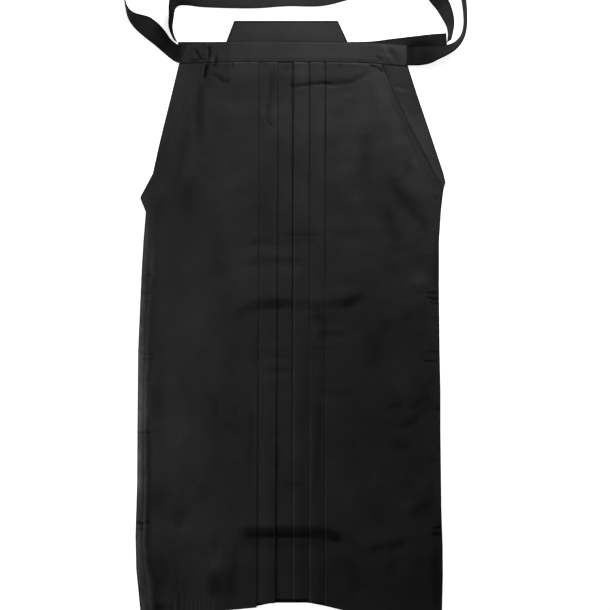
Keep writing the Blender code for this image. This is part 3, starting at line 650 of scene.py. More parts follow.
class ShaderGroups:
    """The shader node groups that the cloths share, each made once."""

    def __init__(self) -> None:
        """Makes the groups."""
        self.weave = self._weave()
        self.dye = self._dye()
        self.crumple = self._crumple()

    @staticmethod
    def _open(name: str, outputs: tuple[str, ...], inputs: dict[str, float]) -> tuple:
        """An empty group that is given a vector and some values.

        Args:
            name: The group's name.
            outputs: Names of the outputs, all single values.
            inputs: Starting values of the single inputs, by their names.

        Returns:
            The group's nodes, what it is given and where its results go.
        """
        tree = bpy.data.node_groups.new(name, "ShaderNodeTree")
        tree.interface.new_socket("Vector", in_out="INPUT", socket_type="NodeSocketVector")
        for label, value in inputs.items():
            made = tree.interface.new_socket(label, in_out="INPUT", socket_type="NodeSocketFloat")
            made.default_value = value
        for label in outputs:
            tree.interface.new_socket(label, in_out="OUTPUT", socket_type="NodeSocketFloat")
        return Nodes(tree), tree.nodes.new("NodeGroupInput").outputs, tree.nodes.new("NodeGroupOutput").inputs

    def _weave(self) -> bpy.types.NodeTree:
        """Plain weave: threads that pass over and under each other.

        Returns:
            The group, with a height and a tone.
        """
        nodes, given, result = self._open("plain_weave", ("Height", "Tone"), {"Threads": 2400.0})
        apart = nodes.add("SeparateXYZ", {0: given["Vector"]}).outputs
        turns = [nodes.math("MULTIPLY", apart[axis], given["Threads"]) for axis in ("X", "Y")]
        waves = [nodes.math("SINE", nodes.math("MULTIPLY", turn, math.pi)) for turn in turns]
        rise = [nodes.math("ABSOLUTE", wave) for wave in waves]
        over = nodes.math("GREATER_THAN", nodes.math("MULTIPLY", *waves), 0.0)
        warp = nodes.math("MULTIPLY", rise[0], over)
        weft = nodes.math("MULTIPLY", rise[1], nodes.math("SUBTRACT", 1.0, over))
        height = nodes.math("ADD", warp, weft)
        slub = nodes.add("TexNoise", {"Vector": given["Vector"], "Scale": 900.0, "Detail": 2.0})
        nodes.put(height, result["Height"])
        nodes.put(nodes.math("MULTIPLY", height, slub.outputs["Fac"]), result["Tone"])
        return nodes.tree

    def _dye(self) -> bpy.types.NodeTree:
        """Slow, uneven depth of the black dye, with fine flecks.

        Returns:
            The group, with one tone.
        """
        nodes, given, result = self._open("worn_dye", ("Tone",),
                                          {"Patch Scale": 11.0, "Fleck Scale": 420.0, "Fleck": 0.25})
        patch, fleck = [nodes.add("TexNoise", {"Vector": given["Vector"], "Scale": given[label],
                                               "Detail": detail, "Roughness": 0.6}).outputs["Fac"]
                        for label, detail in (("Patch Scale", 3.0), ("Fleck Scale", 2.0))]
        fleck = nodes.math("MULTIPLY", nodes.math("SUBTRACT", fleck, 0.5), given["Fleck"])
        nodes.put(nodes.math("ADD", patch, fleck), result["Tone"])
        return nodes.tree

    def _crumple(self) -> bpy.types.NodeTree:
        """Small crumples and ripples that a fold press leaves behind.

        Returns:
            The group, with one height.
        """
        nodes, given, result = self._open("soft_crumple", ("Height",), {"Scale": 38.0, "Fine": 0.3})
        broad = nodes.add("TexNoise", {"Vector": given["Vector"], "Scale": given["Scale"], "Detail": 3.0,
                                       "Distortion": 0.8})
        closer = nodes.math("MULTIPLY", given["Scale"], 2.3)
        fine = nodes.add("TexVoronoi", {"Vector": given["Vector"], "Scale": closer}, feature="SMOOTH_F1")
        facets = nodes.math("MULTIPLY", fine.outputs["Distance"], given["Fine"])
        nodes.put(nodes.math("ADD", broad.outputs["Fac"], facets), result["Height"])
        return nodes.tree


@dataclass(frozen=True)
class ClothFinish:
    """The finish of one cloth."""

    name: str
    dark: float
    light: float
    roughness: float = 0.6
    specular: float = 0.3
    sheen: float = 0.12
    threads: float = 2400.0
    weave_depth: float = 0.00005
    crumple: float = 0.0006
    crumple_scale: float = 38.0
    # How far full painted shade darkens the cloth
    painted_shade_depth: float = 0.86

    def material(self, groups: ShaderGroups) -> bpy.types.Material:
        """Makes the material.

        Args:
            groups: The shared node groups.

        Returns:
            The material.
        """
        made = bpy.data.materials.new(self.name)
        made.use_nodes = True
        nodes = Nodes(made.node_tree)
        places = nodes.add("TexCoord").outputs["Object"]
        laid = nodes.add("UVMap", uv_map=CLOTH_UV).outputs["UV"]
        press_kind_and_painted_shade = nodes.add("Attribute", attribute_name=SHADE).outputs["Fac"]
        weave = self._group(nodes, groups.weave, {"Vector": laid, "Threads": self.threads})
        dye = self._group(nodes, groups.dye, {"Vector": places})["Tone"]
        crumple = self._group(nodes, groups.crumple, {"Vector": places, "Scale": self.crumple_scale})
        patch = nodes.span(dye, 0.0, 1.0, 0.28, 0.74)
        tone = nodes.add("Mix", {"Factor": patch, "A": (*[self.dark] * 3, 1.0), "B": (*[self.light] * 3, 1.0)},
                         data_type="RGBA")
        # The shade attribute holds painted shade: it darkens the base colour and the gloss, and below zero
        # paints them lighter
        kept = nodes.span(press_kind_and_painted_shade, 1.0, 1.0 - self.painted_shade_depth, clamp=False)
        both = nodes.math("MULTIPLY", nodes.span(weave["Tone"], 0.75, 1.15), kept)
        dyed = nodes.add("VectorMath", {"Vector": tone.outputs["Result"], "Scale": both}, operation="SCALE")
        worn = nodes.span(patch, 0.85 * self.specular, 1.15 * self.specular)
        normal = None
        for height, depth in ((crumple["Height"], self.crumple), (weave["Height"], self.weave_depth)):
            under = {} if normal is None else {"Normal": normal}
            bump = nodes.add("Bump", {"Height": height, "Distance": depth, "Strength": 1.0, **under})
            normal = bump.outputs["Normal"]
        for label, value in (("Base Color", dyed.outputs["Vector"]),
                             ("Specular IOR Level", nodes.math("MULTIPLY", kept, worn)),
                             ("Roughness", nodes.span(dye, self.roughness + 0.05, self.roughness - 0.05)),
                             ("Sheen Weight", self.sheen), ("Sheen Roughness", 0.45),
                             ("Sheen Tint", (0.9, 0.92, 1.0, 1.0)), ("Normal", normal)):
            nodes.put(value, made.node_tree.nodes["Principled BSDF"].inputs[label])
        return made

    @staticmethod
    def _group(nodes: Nodes, group: bpy.types.NodeTree, values: dict) -> bpy.types.NodeOutputs:
        """The outputs of one shared group, fed with these values."""
        return nodes.add("Group", values, node_tree=group).outputs


@dataclass(kw_only=True)
class Sheet:
    """A cloth piece: a grid of points with a wall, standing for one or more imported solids.

    Its wall and the rounding of its edges are in mm, and nodes names the solids.
    """

    edge_shade = 0.9
    darkest = 1.0

    name: str
    wall: float
    material: bpy.types.Material
    slot: Slot
    nodes: tuple[str, ...]
    rounding: float = 0.0

    def build(self, points: np.ndarray, shade: np.ndarray) -> bpy.types.Object:
        """Makes the piece.

        Args:
            points: Middle of the cloth by row, column and axis, in mm from the seam.
            shade: Painted shade at each point, with any uneven tone: how much darker the cloth is, up to 1;
                below 0 lighter.

        Returns:
            The finished object, riding on the frame.
        """
        rough = add_object(self.name + "_plain", self._plain(points, shade))
        thick = rough.modifiers.new("wall", "SOLIDIFY")
        thick.thickness = self.wall * MM
        thick.offset = 0.0
        if self.rounding:
            soft = rough.modifiers.new("rounding", "BEVEL")
            soft.width = self.rounding * MM
            soft.segments = 2
            soft.limit_method = "ANGLE"
            soft.angle_limit = math.radians(ROUNDED_ANGLE)
        ready = rough.evaluated_get(bpy.context.evaluated_depsgraph_get())
        mesh = bpy.data.meshes.new_from_object(ready)
        bpy.data.objects.remove(rough)
        mesh.name = self.name
        mesh.materials.clear()
        mesh.materials.append(self.material)
        mesh.polygons.foreach_set("use_smooth", [True] * len(mesh.polygons))
        mesh.set_sharp_from_angle(angle=math.radians(SHARP_ANGLE))
        made = add_object(self.name, mesh)
        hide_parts(*self.nodes)
        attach(made, "root")
        LOG.info("%s: %d by %d points, %d faces", self.name, *shade.shape, len(mesh.polygons))
        return made

    def _plain(self, points: np.ndarray, shade: np.ndarray) -> bpy.types.Mesh:
        """The middle surface with its shade and its weave's places, without a wall.

        Args:
            points: The points, as build takes them.
            shade: The shade, as build takes it.

        Returns:
            The mesh.
        """
        rows, columns = shade.shape
        grid = bmesh.new()
        bmesh.ops.create_grid(grid, x_segments=columns - 1, y_segments=rows - 1, size=0.5)
        plain = bpy.data.meshes.new(self.name)
        grid.to_mesh(plain)
        grid.free()
        placed = points + np.array((0.0, SEAM_Y, 0.0))
        plain.vertices.foreach_set("co", (placed * MM).astype(np.float32).ravel())
        across = self._run(points, 1)
        across = across[:, -1:] - across
        inset = np.minimum(across, across[:, :1] - across)
        # A painted dark line along both side edges of the grid, on top of the painted shade
        shade = np.clip(shade + self.edge_shade * bell(inset, 0.0, EDGE_LINE), LIGHTEST, self.darkest)
        press_kind_and_painted_shade = plain.attributes.new(SHADE, "FLOAT", "POINT")
        press_kind_and_painted_shade.data.foreach_set("value", shade.astype(np.float32).ravel())
        laid = np.stack([across, self._run(points, 0)], 2).reshape(-1, 2) * MM
        corners = np.empty(len(plain.loops), np.int32)
        plain.loops.foreach_get("vertex_index", corners)
        layer = plain.uv_layers.new(name=CLOTH_UV)
        layer.data.foreach_set("uv", laid[corners].astype(np.float32).ravel())
        plain.update()
        return plain

    @staticmethod
    def _run(points: np.ndarray, axis: int) -> np.ndarray:
        """Distance along the cloth, row by row or column by column.

        Args:
            points: The grid of points.
            axis: 0 for along the rows, 1 for along the columns.

        Returns:
            The distance of each point from its first neighbour.
        """
        steps = np.linalg.norm(np.diff(points, axis=axis), axis=2)
        first = np.zeros_like(np.take(steps, [0], axis=axis))
        return np.concatenate([first, np.cumsum(steps, axis=axis)], axis=axis)


@dataclass(kw_only=True)
class FrontLeg(Sheet):
    """A front leg panel with its pleats folded in, from under the waistband to the hem.

    Its side is -1 for the left leg and 1 for the right one. The tail is the last strip, up to the inner
    seam, as distance out and shade. The frills are the finely rippled stretch of the hem.
    """

    edge_shade = 0.0

    side: int
    edge: Table
    pleats: Table
    hem: Table
    tail: Table
    rolled: bool = False
    frills: tuple[float, float] | None = None

    @staticmethod
    def rows() -> tuple[np.ndarray, np.ndarray]:
        """The rows' places.

        Returns:
            The y of each row, and how far it is shifted on towards its hem.
        """
        places = [FRONT_TOP]
        while places[-1] > LEG_FOOT:
            here = places[-1]
            close = any(abs(here - band) < reach for band, reach in CLOSE_ROWS)
            places.append(here - (1.0 if -9.0 < here < 3.0 else 2.3 if close else 4.0))
        places[-1] = LEG_FOOT
        down = np.linspace(0.0, 1.0, 13)[1:]
        return (np.concatenate([places, np.full(len(down), LEG_FOOT)]),
                np.concatenate([np.zeros(len(places)), down]))

    def surface(self, out: np.ndarray, y: np.ndarray, edge: np.ndarray) -> np.ndarray:
        """Height of the outermost layer before any crease.

        Args:
            out: Distances out from the middle line.
            y: Places along.
            edge: The side edge's distance out at those places.

        Returns:
            Heights in mm.
        """
        inner = self.pleats[0][0] + PLEATS.depth + PLEATS.foot
        inset = edge - out
        share = np.clip(inset / (edge - inner), 0.0, 1.0)
        lying = SIZES.edge_z + (SIZES.top_z - SIZES.edge_z) * smooth_step(share / SIZES.edge_rise)
        lying = lying + SIZES.crown * np.sin(math.pi * share)
        if self.rolled:
            lying = lying + SIZES.rolled_rise * self.rim(inset, y)[0]
        slit = smooth_step(inset / 1.5) * smooth_step((7.0 - inset) / 3.0)
        lying = lying + SIZES.slit_rise * slit * smooth_step((y + 222.0) / 14.0)
        band = read_table(ARCH, out * self.side) - SIZES.under_band
        below = np.clip(read_table(BAND_ROWS, out * self.side) - 0.4 - y, 0.0, None)
        puffed = SIZES.puff * smooth_step(below / 1.6) * bell(below, 0.0, 9.0)
        return lying + puffed + (band - lying) * smooth_step(1.0 + y / SIZES.waist_ramp)

    @staticmethod
    def rim(inwards: np.ndarray, y: np.ndarray) -> tuple[np.ndarray, np.ndarray]:
        """The rolled side edge: a steep outer strip, a seam line and a flatter inner strip.

        Args:
            inwards: Distances in from the edge.
            y: Places along.

        Returns:
            Its height from 0 to 1, and its shade: painted light on the outer and inner strips, a dark seam
                line and
            painted shade in the hollow beyond.
        """
        grown = smooth_step((-285.0 - y) / 90.0)
        lower = smooth_step((-515.0 - y) / 20.0)
        wider = 1.0 + 0.05 * np.sin(y / 31.0 + 1.5 * np.sin(y / 71.0))
        wider = wider + 0.03 * np.sin(y / 7.7 + np.sin(y / 19.0)) + 0.35 * smooth_step((-800.0 - y) / 120.0)
        place = inwards / wider
        strip = 1.0 - np.exp(-place / 5.0)
        fall = smooth_step((23.5 - place) / 9.5)
        seam = bell(place, 12.0, 1.1) * smooth_step((y + 960.0) / 150.0)
        ragged = 0.75 + 0.2 * np.sin(y / 11.0 + 2.0 * np.sin(y / 37.0)) + 0.15 * np.sin(y / 3.9 + place / 3.0)
        # Painted light on the outer and the inner strip, and painted shade in the hollow beyond them
        outer = bell(place, 0.0, 7.5) * smooth_step((-240.0 - y) / 60.0)
        outer = outer * (2.0 - 1.2 * smooth_step((-700.0 - y) / 100.0))
        inner = (0.6 + 0.3 * lower) * bell(place, 16.0, 3.2)
        hollow = (0.12 + 0.08 * lower) * bell(place, 25.0, 5.0)
        shade = grown * (0.45 * seam * ragged - inner * ragged + hollow) - outer * ragged
        return grown * (strip * fall - 0.1 * seam), shade

    def ripples(self, out: np.ndarray, y: np.ndarray) -> tuple[np.ndarray, np.ndarray]:
        """The frills at the hem.

        Args:
            out: Distances out from the middle line.
            y: Places along.

        Returns:
            How strong they are at each place, and their height there from about -1 to 1.
        """
        low, high = self.frills
        span = np.clip((out - low) / (high - low), 0.0, 1.0)
        near = smooth_step((-917.0 - y) / 24.0) * np.sin(math.pi * span) ** 0.5
        ripple = np.sin(out * math.tau / 9.0 + 3.4 * np.sin(out / 13.0))
        return near, ripple * (0.55 + 0.45 * np.sin(out / 5.3 + y / 9.0))

    @staticmethod
    def _column(out: np.ndarray, drop: float, hem: np.ndarray | float, dark: np.ndarray | float) -> np.ndarray:
        """Distance out, drop below the top layer, end at the hem and shade of one column, at every row."""
        return np.stack(np.broadcast_arrays(out, drop, hem, dark))

    def _turn(self, fold: np.ndarray, way: int, above: float, below: float, hem: float,
              dark: tuple[float | np.ndarray, float]) -> list[np.ndarray]:
        """A half turn of the cloth.

        Args:
            fold: Where its outermost point lies.
            way: 1 where it opens outwards, else -1.
            above: Drop of the layer over it.
            below: Drop of the layer under it.
            hem: Where its cloth ends.
            dark: Painted shade at its start and at its end.

        Returns:
            Its columns.
        """
        radius = (above - below) / 2
        made = []
        for share in np.linspace(0.0, 1.0, PLEATS.turn_points):
            out = fold + way * (1.0 - math.sin(math.pi * share)) * radius
            drop = (above + below) / 2 + radius * math.cos(math.pi * share)
            made.append(self._column(out, drop, hem, dark[0] + (dark[1] - dark[0]) * share))
        return made

    def _pleat(self, number: int, folds: list[np.ndarray], nominal: np.ndarray, drift: np.ndarray,
               hems: list[float]) -> list[np.ndarray]:
        """One pleat with its two turns, and the strip from it to the next pleat.

        Args:
            number: The pleat's number.
            folds: Where the edges of all the pleats lie, at every row.
            nominal: Places of the rows along.
            drift: How far down each row is, from 0 to 1.
            hems: Where each strip of cloth ends.

        Returns:
            Its columns.
        """
        step, fold = SIZES.layer_step, folds[number]
        # A pleat's line is a painted shadow at the foot of its fold, stronger near the waist, and its light is
        # a painted highlight on its edge lower down. The turns carry painted shade too.
        line, light = self.pleats[number][3:]
        line = line * (0.8 + 0.2 * np.sin(nominal / 29.0 + 2.1 * number))
        line = line * (1.35 - 0.6 * smooth_step(drift / 0.3))
        light = -light * smooth_step(drift / 0.4) * (0.7 + 0.3 * np.sin(nominal / 17.0 + number))
        hem = hems[number + 1]
        made = self._turn(fold, 1, 0.0, -step, hems[number], (light, 0.3))
        made += self._turn(fold + PLEATS.depth, -1, -step, -2 * step, hem, (0.5, 0.7))
        for following in folds[number + 1:number + 2]:
            crest = following + PLEATS.depth + PLEATS.foot
            foot = fold - PLEATS.foot
            for share in STRIP_SHARES:
                out = foot + (crest - foot) * share
                dark = line * math.exp(-(float(np.mean(fold - out)) / PLEATS.shade_reach) ** 2)
                made.append(self._column(out, -2 * step * (1.0 - smooth_step(share)), hem, dark))
            for share in (0.35, 0.7):
                made.append(self._column(crest + (following + PLEATS.lip - crest) * share, 0.0, hem, 0.0))
        return made

    def section(self, nominal: np.ndarray, edge: np.ndarray) -> np.ndarray:
        """The folded section from the side edge to the inner seam, at every row.

        Args:
            nominal: Places of the rows along.
            edge: The side edge's distance out there.

        Returns:
            Distance out, drop below the top layer, end at the hem and shade, each by row and column.
        """
        drift = np.clip(-nominal / 940.0, 0.0, 1.0)
        folds = [top + (low - top) * drift for top, low, *_ in self.pleats]
        start = HALF_HEM - RIM_STEPS[-1]
        width = start - self.pleats[0][1]
        places = [0.0]
        while places[-1] < 1.0:
            at = start - places[-1] * width
            fine = self.frills and self.frills[0] < at < self.frills[1]
            places.append(places[-1] + (1.9 if fine else 3.4) / width)
        places[-1] = 1.0
        rim_end = edge - RIM_STEPS[-1]
        smooth = [edge - step for step in RIM_STEPS]
        smooth += [rim_end * (1.0 - share) + (folds[0] + PLEATS.lip) * share for share in places[1:]]
        columns = [self._column(out, 0.0, read_table(self.hem, out), 0.0) for out in smooth]
        hems = [read_table(self.hem, self.pleats[0][1])] + [row[2] for row in self.pleats]
        for number in range(len(folds)):
            columns += self._pleat(number, folds, nominal, drift, hems)
        columns += [self._column(np.full(len(nominal), away), -2 * SIZES.layer_step, hems[-1], dark)
                    for away, dark in self.tail]
        return np.stack(columns, 2)

    def grid(self) -> tuple[np.ndarray, np.ndarray]:
        """The whole panel.

        Returns:
            The points and their shade.
        """
        row_y, down = self.rows()
        nominal = row_y - FOOT_REACH * down
        edge = read_table(self.edge, nominal)
        out, drop, hem, dark = self.section(nominal, edge)
        x = out * self.side
        y = row_y[:, None] + (hem - LEG_FOOT) * down[:, None]
        z = self.surface(out, nominal[:, None], edge[:, None]) + drop
        inset = edge[:, None] - out
        relief, press_kind_and_painted_shade = FRONT_RELIEF.at(x, y)
        if self.rolled:
            press_kind_and_painted_shade = press_kind_and_painted_shade + self.rim(inset, y)[1]
        # A painted dark line along the side edge, below the hip
        turned = bell(inset, 0.0, EDGE_LINE) * smooth_step((-225.0 - y) / 12.0)
        press_kind_and_painted_shade = press_kind_and_painted_shade + (0.9 - press_kind_and_painted_shade) * turned
        calm = 1.0 - 0.85 * smooth_step((y + 3.0) / 8.0)
        z = z + relief * calm * np.clip(inset / 4.0 + 0.35, 0.35, 1.0)
        if self.frills:
            near, ripple = self.ripples(out, y)
            z = z + 0.5 * near * ripple
            # Painted shade in the frills' hollows and painted light on their crests
            press_kind_and_painted_shade = press_kind_and_painted_shade + 0.2 * near * np.clip(-ripple, -0.5, 1.0)
        floor = SIZES.back_wall + SIZES.panel_wall / 2 + 0.1
        layered = floor + np.clip(drop + 2 * SIZES.layer_step, 0.0, None)
        z = np.maximum(z, np.where(y < 0.0, layered, z))
        return np.stack([x, y, z], 2), press_kind_and_painted_shade + dark

    def make(self) -> bpy.types.Object:
        """Builds the panel and returns it."""
        points, shade = self.grid()
        unfolded = self._run(points[::20], 1)[:, -1]
        made = self.build(points, shade)
        return made


@dataclass(kw_only=True)
class BackLeg(Sheet):
    """A back leg panel, flat on the floor from the board to the hem.

    Its side is -1 for the left leg and 1 for the right one. The front leg whose side edge is given lies on
    it: the slit shade paints a shadow along that edge, and the beyond light paints light outside it.
    """

    side: int
    edge: Table
    front: Table
    slit_shade: float
    beyond_light: float
    seam: float

    def make(self) -> bpy.types.Object:
        """Builds the panel and returns it."""
        row_y = np.concatenate([np.arange(-0.4, -240.0, -4.0), np.arange(-240.0, LEG_FOOT, -8.0),
                                np.full(5, LEG_FOOT)])
        down = np.concatenate([np.zeros(len(row_y) - 5), np.linspace(0.2, 1.0, 5)])
        edge = read_table(self.edge, row_y - FOOT_REACH * down)[:, None]
        front = np.minimum(read_table(self.front, row_y)[:, None], edge - 14.0)
        seam = self.seam * self.side
        out = np.hstack([edge + (front - edge) * np.array(BACK_SHARES),
                         front + (seam - front) * np.linspace(0.0, 1.0, 34)[1:]])
        x = out * self.side
        y = row_y[:, None] + (read_table(BACK_HEM, np.abs(out)) - LEG_FOOT) * down[:, None]
        relief, shade = BACK_RELIEF.at(x, y)
        beyond = out - read_table(self.front, y)
        z = SIZES.back_wall / 2 + FLOOR_GAP + np.clip(relief + 0.15, 0.0, 0.7)
        z = z + 0.8 * smooth_step((out - edge + 9.0) / 9.0) * smooth_step((y + 236.0) / 14.0)
        under_band = read_table(ARCH, x) - 1.5 + 0.85 * smooth_step(beyond / 3.0)
        lifted = smooth_step(1.0 + y / 38.0) * smooth_step((beyond + 9.0) / 8.0)
        z = z + np.clip(under_band - z, 0.0, None) * lifted
        # Painted shadow along the edge of the front that lies on this panel
        shade = shade + (self.slit_shade * bell(np.clip(beyond, 0.0, None), 0.0, 1.4)
                         * smooth_step((y + 226.0) / 12.0))
        # Painted shade towards the hem, where this panel shows below the front's hems
        shade = shade + 0.5 * smooth_step((-900.0 - y) / 30.0)
        # Painted light on the panel outside the front's edge
        light = smooth_step((beyond - 2.0) / 4.0) * smooth_step((-60.0 - y) / 40.0)
        made = self.build(np.stack([x, y, z], 2), shade - self.beyond_light * light)
        return made


@dataclass(kw_only=True)
class Board(Sheet):
    """The stiff board at the back of the waist, in its cloth."""

    def make(self) -> bpy.types.Object:
        """Builds the board and returns it."""
        low, high = BOARD_ROWS[0][0], BOARD_ROWS[-1][0]
        y = np.repeat(np.linspace(low, high, 44)[:, None], 120, 1)
        share = np.linspace(0.0, 1.0, 120)[None, :]
        left, right = (read_table(BOARD_ROWS, y, column) for column in (1, 2))
        x = left + (right - left) * share
        room = np.minimum(np.minimum(x - left, right - x), high - y)
        crown = 0.5 * np.sin(math.pi * share) * np.sin(math.pi * np.clip((y - low) / (high - low), 0.0, 1.0))
        relief, _ = BELT_RELIEF.at(x * 0.6, y * 0.6)
        z = SIZES.board_wall / 2 + FLOOR_GAP + crown - 0.22 * bell(room, 3.2, 0.9)
        z = z + np.clip(0.5 * relief, -0.05, 0.2)
        # Painted shade in the stitched border's groove, a painted shadow just above the band's upper edge and
        # a painted dark line along the top edge
        shade = 0.3 * bell(room, 3.2, 0.8) + 0.6 * bell(y, 35.4, 1.3)
        shade = shade + self.edge_shade * bell(high - y, 0.0, 2.2)
        made = self.build(np.stack([x, y, z], 2), shade)
        return made


@dataclass(kw_only=True)
class Waistband(Sheet):
    """The front waistband, arched over the pleats."""

    edge_shade = 0.3
    columns = 240
    rows = 24

    def make(self) -> bpy.types.Object:
        """Builds the band and returns it."""
        marks = np.array(BAND_ROWS)
        places = (marks[:, 0] - marks[0, 0]) / (marks[-1, 0] - marks[0, 0])
        along = np.linspace(0.0, 1.0, self.columns)
        low_x, low_y, high_x, high_y = (np.interp(along, places, mark)[None, :] for mark in marks.T)
        up = np.linspace(0.0, 1.0, self.rows)[:, None]
        x = low_x + (high_x - low_x) * up
        y = low_y + (high_y - low_y) * up
        relief, press_kind_and_painted_shade = FRONT_RELIEF.at(x, y)
        seam = bell(y - low_y, STITCH_LINE, 0.9)
        rounded = 0.7 * np.abs(2.0 * up - 1.0) ** 6
        z = read_table(ARCH, x) + SIZES.band_wall / 2 + 0.15 - rounded - 0.28 * seam + 0.9 * relief
        z = np.maximum(z, SIZES.band_wall / 2 + 1.9)
        # A painted dark line along the upper edge, and painted shade in the groove of the stitch line
        top = 0.75 * bell((1.0 - up) * SIZES.belt_width, 0.0, EDGE_LINE)
        made = self.build(np.stack([x, y, z], 2), press_kind_and_painted_shade + 0.12 * seam + top)
        return made


@dataclass(kw_only=True)
class Belt(Sheet):
    """A belt laid in loose rows, standing on its edge where it turns.

    Its lean side is 1 where its upper edge leans to the right of its way, else -1, and its slant is how far
    its first end is cut askew, in mm.
    """

    # Painted shade may go past full on the belts, which also paints out the gloss where they stand on edge
    darkest = 1.16

    rows: Table
    lean_side: int
    slant: float
    painted_shade_and_tones: Table

    def line(self) -> np.ndarray:
        """A smooth curve through the rows.

        Returns:
            Its points, in the table's columns.
        """
        table = np.array(self.rows, float)
        padded = np.vstack([2 * table[0] - table[1], table, 2 * table[-1] - table[-2]])
        points = []
        for number in range(1, len(table)):
            before, start, end, after = padded[number - 1:number + 3]
            steps = max(2, round(float(np.linalg.norm((end - start)[:2])) / 4.0))
            for t in np.arange(steps) / steps:
                points.append(0.5 * (2 * start + (end - before) * t
                                     + (2 * before - 5 * start + 4 * end - after) * t * t
                                     + (3 * start - before - 3 * end + after) * t ** 3))
        points.append(table[-1])
        return np.array(points)

    def make(self) -> bpy.types.Object:
        """Builds the belt and returns it."""
        line = self.line()
        ways = np.gradient(line[:, :2], axis=0)
        ways /= np.linalg.norm(ways, axis=1)[:, None]
        lean = np.radians(np.clip(line[:, 2], 0.0, 90.0))
        aside = np.stack([ways[:, 1], -ways[:, 0]], 1) * self.lean_side
        over = np.column_stack([aside * np.cos(lean)[:, None], np.sin(lean)])
        normal = np.column_stack([-aside * np.sin(lean)[:, None], np.cos(lean)])
        foot = np.clip(line[:, 3], 0.0, None) + self.wall / 2 * np.cos(lean) + FLOOR_GAP
        low = np.column_stack([line[:, :2], foot])
        share = np.concatenate([[0.0, 0.035], np.linspace(0.1, 0.9, 9), [0.965, 1.0]])
        run = np.concatenate([[0.0], np.cumsum(np.linalg.norm(np.diff(line[:, :2], axis=0), axis=1))])
        wave, _ = BELT_RELIEF.at(*np.broadcast_arrays(run[:, None], share * SIZES.belt_width))
        bowed = 0.7 * smooth_step(np.sin(lean) * 1.6)[:, None]
        lift = (bowed + np.clip(wave, -0.1, 0.35)) * np.sin(math.pi * share)
        points = low[:, None, :] + over[:, None, :] * (share * SIZES.belt_width)[None, :, None]
        points = points + normal[:, None, :] * lift[:, :, None]
        points[0, :, :2] += ways[0] * (share * self.slant)[:, None]
        # Painted shade in the grooves along both edges, and the belt's patches of painted shade and light
        groove = bell(np.minimum(share, 1.0 - share) * SIZES.belt_width, 3.5, 1.6)
        _, dark = Relief(painted_shade_and_tones=self.painted_shade_and_tones).at(points[:, :, 0], points[:, :, 1])
        made = self.build(points, 0.12 * groove + dark)
        return made


@dataclass(frozen=True)
class StitchSizes:
    """Sizes of a machine stitch, in mm."""

    length: float = 2.3
    gap: float = 1.3
    width: float = 0.42
    height: float = 0.22


@dataclass
class Stitches:
    """A row of small machine stitches along a line on the cloth's top, in mm from the seam."""

    name: str
    line: np.ndarray
    sizes: StitchSizes
    material: bpy.types.Material
    slot: Slot

    def make(self) -> bpy.types.Object:
        """Builds all the stitches as one piece and returns it."""
        mesh = bmesh.new()
        sizes, line = self.sizes, self.line
        run = np.concatenate([[0.0], np.cumsum(np.linalg.norm(np.diff(line, axis=0), axis=1))])
        grown = Matrix.Diagonal((sizes.length / 2, sizes.width / 2, sizes.height / 2, 1.0))
        for place in np.arange(sizes.length, run[-1] - sizes.length, sizes.length + sizes.gap):
            ends = [Vector([float(np.interp(place + shift, run, line[:, axis])) for axis in range(3)])
                    for shift in (-sizes.length / 2, sizes.length / 2)]
            turn = (ends[1] - ends[0]).normalized().to_track_quat("X", "Z").to_matrix().to_4x4()
            middle = (ends[0] + ends[1]) / 2 + Vector((0.0, SEAM_Y, 0.0))
            matrix = Matrix.Translation(middle * MM) @ turn @ Matrix.Scale(MM, 4) @ grown
            bmesh.ops.create_icosphere(mesh, subdivisions=1, radius=1.0, matrix=matrix)
        for face in mesh.faces:
            face.smooth = True
        data = bpy.data.meshes.new(self.name)
        mesh.to_mesh(data)
        mesh.free()
        data.materials.append(self.material)
        made = add_object(self.name, data)
        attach(made, "root")
        return made


@dataclass(frozen=True)
class Lamp:
    """One soft light: where it stands, where it points, its size and power."""

    name: str
    place: tuple[float, float, float]
    aim: tuple[float, float, float]
    size: float
    power: float

    def make(self) -> bpy.types.Object:
        """Sets the light up and returns it."""
        data = bpy.data.lights.new(self.name, "AREA")
        data.shape = "SQUARE"
        data.size = self.size
        data.energy = self.power
        lamp = add_object(self.name, data)
        lamp.location = self.place
        lamp.rotation_euler = (Vector(self.aim) - Vector(self.place)).to_track_quat("-Z", "Y").to_euler()
        return lamp


